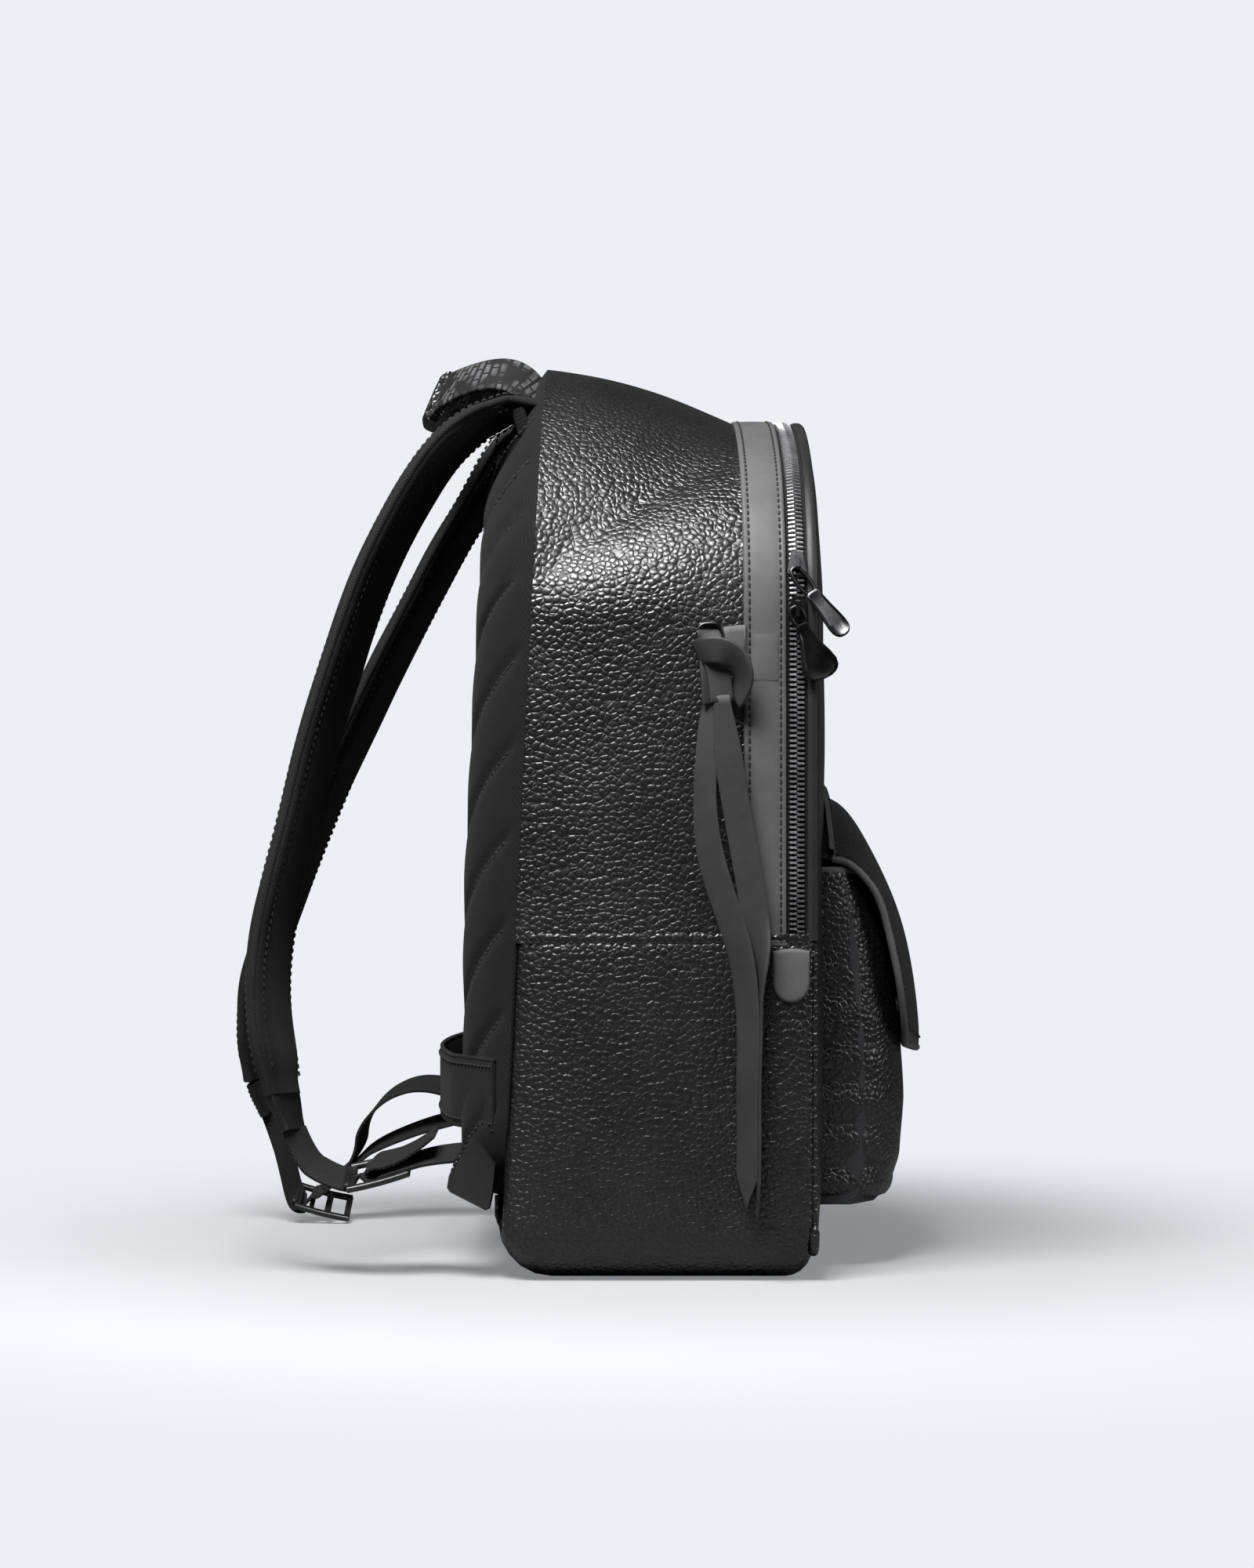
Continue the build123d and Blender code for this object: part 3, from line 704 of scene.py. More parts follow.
@dataclass
class Blank:
    """Mesh in the making, in millimetres."""

    points: list[Vector] = field(default_factory=list)
    faces: list[tuple[int, ...]] = field(default_factory=list)
    lay: list[Point] = field(default_factory=list)

    def grid(
        self, rows: Sequence[Sequence[Vector]], ring: bool = False, caps: bool = False
    ) -> None:
        """Add a surface through rows of points.

        Args:
            rows: rows of equal length.
            ring: whether each row closes on itself.
            caps: whether the first and last ring are closed by a face.
        """
        base, wide = len(self.points), len(rows[0])
        run = 0.0
        for i, row in enumerate(rows):
            if i:
                run += sum((a - b).length for a, b in zip(row, rows[i - 1])) / wide
            across = [0.0]
            for a, b in zip(row, row[1:]):
                across.append(across[-1] + (b - a).length)
            middle = 0.5 * across[-1]
            self.points.extend(row)
            self.lay.extend((MM * (part - middle), MM * run, 0.0) for part in across)
        for i in range(len(rows) - 1):
            for j in range(wide if ring else wide - 1):
                a, b = base + i * wide + j, base + i * wide + (j + 1) % wide
                self.faces.append((a, a + wide, b + wide, b))
        if caps:
            last = base + (len(rows) - 1) * wide
            self.faces.append(tuple(range(base, base + wide)))
            self.faces.append(tuple(reversed(range(last, last + wide))))

    def sweep(
        self,
        path: Sequence[Vector],
        across: Vector | Sequence[Vector],
        section: Callable[[float], Section],
    ) -> None:
        """Carry a closed section along a line, with rounded ends.

        Args:
            path: points of the line.
            across: direction of the section's width, one for all or one for each point.
            section: section at a share of the line's length.
        """
        rows = []
        many = not isinstance(across, Vector)
        steps = [0.0]
        for a, b in zip(path, path[1:]):
            steps.append(steps[-1] + (b - a).length)
        for i, (point, along) in enumerate(zip(path, tangents(path))):
            hint = across[i] if many else across
            wide = (hint - along * hint.dot(along)).normalized()
            through = wide.cross(along)
            ring = section(steps[i] / steps[-1])
            rows.append([point + wide * u + through * v for u, v in ring])
        first, last = path[0], path[-1]
        start = [first + (p - first) * 0.7 - tangents(path)[0] * 0.25 for p in rows[0]]
        end = [last + (p - last) * 0.7 + tangents(path)[-1] * 0.25 for p in rows[-1]]
        self.grid([start, *rows, end], ring=True, caps=True)

    def tube(self, path: Sequence[Vector], radius: float, count: int = 8) -> None:
        """Add a round tube along a line."""
        straight = (path[-1] - path[0]).normalized()
        hint = Vector((1, 0, 0)) if abs(straight.x) < 0.8 else Vector((0, 0, 1))
        section = oval(2.0 * radius, 2.0 * radius, count=count)
        self.sweep(path, hint, lambda share: section)

    def stitches(
        self,
        path: Sequence[Vector],
        normals: Sequence[Vector],
        pitch: float = 3.6,
        length: float = 2.7,
        radius: float = 0.55,
    ) -> None:
        """Add a row of thread stitches that dip into the leather at both ends."""
        for point, along, out in stations(path, normals, pitch):
            side = along.cross(out).normalized()
            base = len(self.points)
            ends = [point - along * (0.5 * length) - out * 0.3, point + along * (0.5 * length) - out * 0.3]
            rings = []
            for share in (-0.3, 0.3):
                centre = point + along * (share * length) + out * 0.12
                for k in range(5):
                    turn = 2.0 * math.pi * k / 5
                    rings.append(centre + (side * math.cos(turn) + out * math.sin(turn)) * radius)
            self.points.extend([ends[0], *rings, ends[1]])
            self.lay.extend([(0.0, 0.0, 0.0)] * 12)
            for k in range(5):
                n = (k + 1) % 5
                self.faces.append((base, base + 1 + k, base + 1 + n))
                self.faces.append((base + 1 + k, base + 6 + k, base + 6 + n, base + 1 + n))
                self.faces.append((base + 11, base + 6 + n, base + 6 + k))

    def tooth(self, at: Vector, along: Vector, out: Vector, toward: Vector) -> None:
        """Add one zip tooth.

        Args:
            at: middle of the tooth on the tape.
            along: direction of the chain.
            out: away from the tape.
            toward: from the tape's edge to the middle of the chain.
        """
        shape = [(-1.9, 0.45, 0.7), (-1.5, 0.62, 1.5), (0.2, 0.5, 1.9), (1.2, 0.78, 2.1), (1.8, 0.5, 1.2)]
        rows = []
        for reach, half, height in shape:
            centre = at + toward * reach
            ring = [(-half, 0.0), (-half, 0.7 * height), (-0.55 * half, height)]
            ring += [(0.55 * half, height), (half, 0.7 * height), (half, 0.0)]
            rows.append([centre + along * u + out * v for u, v in ring])
        self.grid(rows, ring=True, caps=True)

    def build(
        self,
        name: str,
        outward_from: Point | None = None,
        thickness: float = 0.0,
        crease: float = 50.0,
        levels: int = 0,
    ) -> bpy.types.Object:
        """Make the object.

        Args:
            name: name of the piece.
            outward_from: point that an open surface faces away from, or None when it is closed.
            thickness: thickness added on the inner side of an open surface.
            crease: angle in degrees above which an edge stays sharp.
            levels: levels of subdivision.

        Returns:
            The new object, with its modifiers applied.
        """
        mesh = bpy.data.meshes.new(name)
        mesh.from_pydata([point * MM for point in self.points], [], self.faces)
        lay = mesh.attributes.new(LAY, "FLOAT_VECTOR", "POINT")
        lay.data.foreach_set("vector", [part for row in self.lay for part in row])
        obj = bpy.data.objects.new(name, mesh)
        bpy.context.scene.collection.objects.link(obj)
        if outward_from is None:
            turn_closed(mesh)
        else:
            turn_open(mesh, Vector(outward_from) * MM)
        if levels:
            step = obj.modifiers.new("soften", "SUBSURF")
            step.levels = step.render_levels = levels
        if thickness:
            step = obj.modifiers.new("thickness", "SOLIDIFY")
            step.thickness = thickness * MM
            step.offset = -1.0
            step.use_even_offset = False
        if levels or thickness:
            apply_modifiers(obj)
        obj.data.shade_smooth()
        obj.data.set_sharp_from_angle(angle=math.radians(crease))
        return obj


def turn_closed(mesh: bpy.types.Mesh) -> None:
    """Point a closed mesh's faces outwards."""
    import bmesh

    work = bmesh.new()
    work.from_mesh(mesh)
    bmesh.ops.recalc_face_normals(work, faces=work.faces)
    work.to_mesh(mesh)
    work.free()


def turn_open(mesh: bpy.types.Mesh, centre: Vector) -> None:
    """Point an open mesh's faces away from a point."""
    away = sum(f.normal.dot(f.center - centre) * f.area for f in mesh.polygons)
    if away < 0.0:
        mesh.flip_normals()


def apply_modifiers(obj: bpy.types.Object) -> None:
    """Replace an object's mesh by what its modifiers make."""
    graph = bpy.context.evaluated_depsgraph_get()
    made = bpy.data.meshes.new_from_object(obj.evaluated_get(graph))
    old = obj.data
    obj.modifiers.clear()
    obj.data = made
    made.name = obj.name
    bpy.data.meshes.remove(old)


def settle(
    obj: bpy.types.Object, finish: Finish, body: Body | None, *nodes: str
) -> bpy.types.Object:
    """Dress a piece and give it its place.

    Args:
        obj: the piece.
        finish: its finish.
        body: the body that it rides on, or None to leave it unattached.
        *nodes: CAD nodes that it stands for.

    Returns:
        The piece.
    """
    finish.dress(obj)
    if body is not None:
        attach(obj, body.value)
    if nodes:
        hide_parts(*nodes)
    log.info("%s: %d faces, %s", obj.name, len(obj.data.polygons), finish.name)
    return obj


def ripple(point: Vector, amount: float, wave: float = 55.0) -> float:
    """Small lasting unevenness of soft leather at a point."""
    return amount * noise.noise(point / wave)


# ---------------------------------------------------------------- bag shell


@dataclass
class Shell:
    """Leather body of the bag: gusset, lower wrap, strip, bindings, front panel."""

    front_top: float = 394.0
    back_top: float = 420.0
    back_y: float = 70.0
    back_lean: float = 20.0 / 420.0
    strip_back: float = -38.0
    strip_front: float = -56.0
    zip_y: float = -61.0
    zip_end_z: float = 153.0
    fold_z: float = 228.0
    corner: float = 22.0
    side_puff: float = 3.0
    top_puff: float = 4.6

    def back_line(self, z: float) -> float:
        """Depth of the back seam at a height."""
        return self.back_y - z * self.back_lean

    def puff(self, share: float, up: float, z: float) -> float:
        """How far the soft side stands out between its two seams.

        Args:
            share: share of the way from the strip to the back seam.
            up: upward part of the normal, 0 on the sides and 1 on the crown.
            z: height, which flattens the puff near the floor.

        Returns:
            Distance along the normal.
        """
        amount = self.side_puff + (self.top_puff - self.side_puff) * up
        return amount * math.sin(math.pi * share) ** 0.9 * smooth(z / 110.0)

    def gusset(self) -> None:
        """Pebbled side and top panel from the strip to the back seam."""
        counts = (36, 34, 18)
        low = self.zip_end_z - 4.0
        front = Arch(self.front_top).walk(0.0, low, counts)
        back = Arch(self.back_top / math.cos(math.atan(self.back_lean))).walk(0.0, low, counts)
        rows = []
        for j in range(27):
            share = max(j - 1, 0) / 25.0
            row = []
            for (fx, fz, nx, nz), (bx, bz, _, _) in zip(front, back):
                start = Vector((fx, self.strip_back, fz))
                end = Vector((bx, self.back_line(bz), bz))
                out = Vector((nx, 0.0, nz))
                point = start.lerp(end, share)
                lift = self.puff(share, max(nz, 0.0), point.z)
                lift += ripple(point, 0.9) * math.sin(math.pi * share)
                if j == 0:
                    point.y -= 4.0
                row.append(point + out * (lift - 0.15))
            rows.append(row)
        blank = Blank()
        blank.grid(rows)
        shell = blank.build("gusset_leather", (0, 0, 200), thickness=2.0)
        settle(shell, PEBBLED, Body.BAG, "gusset")

    def tub_line(self, inset: float) -> list[tuple[float, float, float, float]]:
        """U outline of the lower bag, from the left edge under the floor to the right edge."""
        half, small = 140.0 - inset, max(self.corner - inset, 0.5)
        heights = [153.2, 152.9, 152.2, 151.2, 150.2, 149.6, 149.0, 148.2, 146.0, 142.0]
        heights += [138.0 - 4.0 * i for i in range(int((138.0 - self.corner) / 4.0) + 1)]
        left = [(-half, z, -1.0, 0.0) for z in heights]
        centre_x, centre_z = -half + small, inset + small
        for i in range(1, 10):
            turn = 0.5 * math.pi * i / 9.0
            c, s = math.cos(turn), math.sin(turn)
            left.append((centre_x - small * c, centre_z - small * s, -c, -s))
        for i in range(1, 13):
            left.append((centre_x * (1.0 - i / 12.0), inset, 0.0, -1.0))
        return left + [(-x, z, -nx, nz) for x, z, nx, nz in reversed(left[:-1])]

    def lower_wrap(self) -> None:
        """Pebbled wrap round the lower sides and the floor, with a stitched top fold."""
        outline = self.tub_line(0.0)
        shares = [i / 26.0 for i in range(27)]
        rows: list[list[Vector]] = [[] for _ in range(9 + len(shares) + 9)]
        for x, z, nx, nz in outline:
            flat = abs(nz)
            out = Vector((nx, 0.0, nz))
            toe, heel = 2.5 + 9.5 * flat, 5.0 + 19.0 * flat
            front_y = -68.6
            back_y = self.back_line(z) + 3.5 * flat * (1.0 - (x / 140.0) ** 2)
            column = []
            for i in range(4):
                column.append((toe + (14.0 - toe) * (1.0 - i / 4.0), front_y))
            for i in range(5):
                turn = 0.5 * math.pi * i / 5.0
                column.append((toe * (1.0 - math.sin(turn)), front_y + toe * (1.0 - math.cos(turn))))
            start, end = front_y + toe, back_y - heel
            for share in shares:
                column.append((0.0, start + (end - start) * share))
            for i in range(1, 6):
                turn = 0.5 * math.pi * i / 5.0
                column.append((heel * (1.0 - math.cos(turn)), back_y - heel * (1.0 - math.sin(turn))))
            for i in range(1, 5):
                column.append((heel + (36.0 - heel) * i / 4.0, back_y))
            edge = self.zip_end_z - z
            fold = 0.55 * math.exp(-(((edge - 1.4) / 1.3) ** 2))
            fold -= 0.45 * math.exp(-(((edge - 3.7) / 0.7) ** 2))
            for row, (inset, y) in zip(rows, column):
                share = min(max((y - self.strip_back) / (self.back_line(z) - self.strip_back), 0.0), 1.0)
                lift = self.puff(share, 0.0, z) * (1.0 - flat) + 0.9 * smooth(z / 60.0) * (1.0 - flat)
                edge_hold = smooth(min(y + 70.0, self.back_line(z) - y) / 12.0)
                point = Vector((x, y, z)) - out * inset
                swell = ripple(point, 1.1) * (1.0 - flat) + fold * (1.0 - flat)
                point += out * ((lift + swell) * edge_hold)
                point.z = max(point.z, 0.0)
                row.append(point)
        blank = Blank()
        blank.grid(rows)
        wrap = blank.build("lower_wrap_leather", (0, 0, 120), thickness=1.8)
        settle(wrap, PEBBLED, Body.BAG, "lower_wrap")
        self.wrap_stitches()

    def wrap_stitches(self) -> None:
        """Stitch row along the wrap's top fold."""
        blank = Blank()
        z = self.zip_end_z - 3.7
        for side in Side:
            path, normals = [], []
            for i in range(40):
                y = -64.0 + (self.back_line(z) + 60.5) * i / 39.0
                share = min(max((y - self.strip_back) / (self.back_line(z) - self.strip_back), 0.0), 1.0)
                lift = self.puff(share, 0.0, z) + 0.55
                path.append(Vector((side.value * (140.0 + lift), y, z)))
                normals.append(Vector((side.value, 0, 0)))
            blank.stitches(path, normals)
        settle(blank.build("wrap_stitching"), THREAD, Body.BAG)

    def band(
        self,
        name: str,
        section: Sequence[tuple[float, float]],
        finish: Finish,
        body: Body,
        nodes: Sequence[str],
        low: float = 150.0,
        high: float = 500.0,
        thickness: float = 1.2,
    ) -> None:
        """Strip that follows the front outline.

        Args:
            name: name of the piece.
            section: depth and proudness of each point across the strip.
            finish: its finish.
            body: its body.
            nodes: CAD nodes that it stands for.
            low: height of its feet.
            high: height above which it is left out.
            thickness: thickness below its face.
        """
        outline = Arch(self.front_top).walk(0.0, low, (48, 44, 22))
        pieces = [outline] if high > 450.0 else [
            [p for p in outline[: len(outline) // 2] if p[1] <= high],
            [p for p in outline[len(outline) // 2 :] if p[1] <= high],
        ]
        blank = Blank()
        for piece in pieces:
            rows = [
                [Vector((x + nx * proud, y, z + nz * proud)) for y, proud in section]
                for x, z, nx, nz in piece
            ]
            blank.grid(rows)
        settle(blank.build(name, (0, 0, 200), thickness=thickness), finish, body, *nodes)

    def trim_strip(self) -> None:
        """Smooth strip beside the zip, with a stitch row near each edge."""
        back, front = self.strip_back, self.strip_front
        section = [
            (back + 0.5, -0.7), (back + 0.45, 0.5), (back - 0.1, 1.05), (back - 1.2, 1.15),
            (back - 2.1, 0.75), (back - 3.0, 1.05), (back - 6.0, 1.15), (back - 9.0, 1.2),
            (back - 12.0, 1.15), (front + 3.0, 1.05), (front + 2.1, 0.75), (front + 1.2, 1.15),
            (front + 0.1, 1.05), (front - 0.3, 0.5), (front - 0.4, -0.9),
        ]
        self.band("trim_strip_leather", section, SMOOTH, Body.BAG, ["trim_strip"], 148.0)
        outline = Arch(self.front_top).walk(-0.85, 150.0, (48, 44, 22))
        blank = Blank()
        for y in (back - 2.1, front + 2.1):
            path = [Vector((x, y, z)) for x, z, _, _ in outline]
            blank.stitches(path, [Vector((nx, 0, nz)) for _, _, nx, nz in outline])
        settle(blank.build("trim_strip_stitching"), THREAD, Body.BAG)
        self.strip_joint()

    def strip_joint(self) -> None:
        """Overlap on each side where the strip's two lengths meet."""
        blank = Blank()
        for side in Side:
            rows = []
            for i in range(9):
                z = 264.5 + 20.5 * i / 8.0
                edge = 0.0 if 0 < i < 8 else 0.32
                rows.append(
                    [
                        Vector((side.value * (141.62 - max(edge, rim)), y, z))
                        for y, rim in ((-41.2, 0.35), (-41.8, 0.0), (-47.0, 0.0), (-52.2, 0.0), (-52.8, 0.35))
                    ]
                )
            blank.grid(rows)
        piece = blank.build("trim_strip_joint", (0, -47, 275), thickness=0.6)
        settle(piece, SMOOTH, Body.BAG)

    def zip_chain(self) -> None:
        """Tapes and separate teeth, split where the front panel folds."""
        y, split = self.zip_y, self.fold_z
        rear = [(self.strip_front + 0.6, -1.6), (y + 2.6, -1.3), (y + 0.25, -1.3)]
        front = [(y - 0.25, -1.3), (y - 2.6, -1.3), (y - 5.4, -1.6)]
        self.band("zip_tape_rear_cloth", rear, TAPE, Body.BAG, ["zip_tape_rear"], 150.0, thickness=0.7)
        self.split_band("zip_tape_front_cloth", front, TAPE, "zip_tape_front", 0.7)
        outline = Arch(self.front_top).walk(1.3, 153.5, (60, 60, 30))
        path = [Vector((x, 0.0, z)) for x, z, _, _ in outline]
        normals = [Vector((nx, 0.0, nz)) for _, _, nx, nz in outline]
        rear_row, front_low, front_high = Blank(), Blank(), Blank()
        for i, (point, along, out) in enumerate(stations(path, normals, 1.12)):
            if i % 2:
                rear_row.tooth(point + Vector((0, y + 1.6, 0)), along, out, Vector((0, -1, 0)))
            else:
                row = front_low if point.z < split else front_high
                row.tooth(point + Vector((0, y - 1.6, 0)), along, out, Vector((0, 1, 0)))
        settle(rear_row.build("zip_teeth_rear_row", crease=30), ZIP_METAL, Body.BAG, "zip_teeth_rear")
        low = front_low.build("zip_teeth_front_low_row", crease=30)
        settle(low, ZIP_METAL, Body.BAG, "zip_teeth_front_lower")
        high = front_high.build("zip_teeth_front_high_row", crease=30)
        settle(high, ZIP_METAL, Body.PANEL, "zip_teeth_front_upper")

    def split_band(
        self,
        name: str,
        section: Sequence[tuple[float, float]],
        finish: Finish,
        node: str,
        thickness: float,
    ) -> None:
        """Strip on the front panel's side of the zip."""
        outline = Arch(self.front_top).walk(0.0, 150.0, (60, 44, 22))
        blank = Blank()
        rows = [
            [Vector((x + nx * proud, y, z + nz * proud)) for y, proud in section]
            for x, z, nx, nz in outline
        ]
        blank.grid(rows)
        piece = blank.build(name, (0, 0, 200), thickness=thickness)
        settle(piece, finish, None, f"{node}_lower", f"{node}_upper")
        self.fold(piece)

    def fold(self, piece: bpy.types.Object) -> None:
        """Bake a piece's placement into its mesh, leaving its shape as it is."""
        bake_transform(piece)

    def binding(self) -> None:
        """Rolled smooth edge between the zip and the front panel, and the lower piping."""
        section = [(-65.6, -1.4), (-65.8, -0.1), (-66.6, 0.35), (-68.0, 0.5), (-69.4, 0.35), (-70.4, -0.4), (-70.6, -1.6)]
        self.split_band("front_binding_leather", section, EDGE, "front_binding", 1.0)
        path = []
        for x, z, nx, nz in self.tub_line(1.0):
            if z > 152.0:
                continue
            lift = 11.0 * abs(nz) ** 2
            path.append(Vector((x * 1.003, -68.9, z + lift)))
        blank = Blank()
        blank.tube(path, 2.1, 10)
        settle(blank.build("front_corner_piping"), PEBBLED, Body.BAG, "front_piping")

    def crown(self, inward: float, z: float) -> float:
        """How far the front panel stands out at a distance from its edge."""
        foot = 1.0 - math.exp(-max(z - 12.0, 0.0) / 9.0)
        edge, middle = 1.0 - math.exp(-inward / 9.0), 1.0 - math.exp(-((inward / 58.0) ** 2))
        return 0.4 + (2.4 * edge + 7.0 * middle) * foot

    def front_panel(self) -> None:
        """Crowned front face, one leather from the foot to the crown."""
        outline = []
        for x, z, nx, nz in reversed(self.tub_line(0.6)[13:-13]):
            if nz < -0.01:
                outline.append((x, 12.0 + max(z - 12.0, 0.0) + 3.0 * (1.0 - abs(nz)), nx, nz))
        counts = (70, 40, 20)
        upper = Arch(self.front_top - 1.4).walk(0.4, 24.0, counts)
        floor = [(x, 12.0, 0.0, -1.0) for x in (120, 90, 60, 30, 0, -30, -60, -90, -120)]
        right_foot = [(137.5, 16.0, 0.7, -0.7), (131.0, 13.0, 0.3, -0.9)]
        left_foot = [(-x, z, -nx, nz) for x, z, nx, nz in reversed(right_foot)]
        ring = [*upper, *right_foot, *floor, *left_foot]
        rows = []
        steps = 46
        for k in range(steps + 1):
            share = (k / steps) ** 1.35
            row = []
            for x, z, _, _ in ring:
                spine = Vector((0.04 * x, 0.0, min(max(z, 60.0), 300.0)))
                edge = Vector((x, 0.0, z))
                point = edge.lerp(spine, share)
                inward = (point - edge).length
                point.y = -69.6 - self.crown(inward, point.z)
                point.y -= ripple(point, 0.9, 48.0) * smooth(inward / 25.0)
                row.append(point)
            rows.append(row)
        blank = Blank()
        blank.grid(rows, ring=True)
        blank.faces.append(tuple(range(steps * len(ring), (steps + 1) * len(ring))))
        panel = blank.build("front_panel_leather", (0, 60, 200), thickness=1.8)
        settle(panel, PEBBLED, None, "front_panel_lower", "front_panel_upper")
        self.fold(panel)

    def end_tabs(self) -> None:
        """Smooth D-shaped patches that close the zip's lower ends."""
        blank = Blank()
        stitches = Blank()
        for side in Side:
            outline = []
            for i in range(25):
                turn = math.pi * i / 24.0
                outline.append((-58.4 + 8.0 * math.cos(turn), 131.5 - 8.6 * math.sin(turn)))
            outline += [(-66.4, 139.0), (-66.4, 145.4), (-62.0, 146.3), (-58.4, 146.5), (-54.8, 146.3), (-50.4, 145.4), (-50.4, 139.0)]
            rows = []
            for scale, proud in ((1.02, 0.2), (1.0, 1.1), (0.95, 1.6), (0.86, 1.75), (0.6, 1.8), (0.3, 1.8), (0.02, 1.8)):
                row = []
                for y, z in outline:
                    yy, zz = -58.4 + (y + 58.4) * scale, 134.5 + (z - 134.5) * scale
                    share = min(max((yy + 38.0) / (self.back_line(zz) + 38.0), 0.0), 1.0)
                    lift = self.puff(share, 0.0, zz) + 0.9
                    row.append(Vector((side.value * (140.0 + lift + proud), yy, zz)))
                rows.append(row)
            blank.grid(rows, ring=True, caps=False)
            ring = [Vector((side.value * 142.7, -58.4 + (y + 58.4) * 0.82, 134.5 + (z - 134.5) * 0.84)) for y, z in outline]
            stitches.stitches([*ring, ring[0]], [Vector((side.value, 0, 0))] * (len(ring) + 1), 2.6, 1.8, 0.28)
        settle(blank.build("zip_end_patches", (0, -58, 134)), SMOOTH, Body.BAG, "zip_end_tabs")

    def build(self) -> None:
        """Build every part of the shell."""
        self.gusset()
        self.lower_wrap()
        self.trim_strip()
        self.zip_chain()
        self.binding()
        self.front_panel()
        self.end_tabs()


# ---------------------------------------------------------------- back


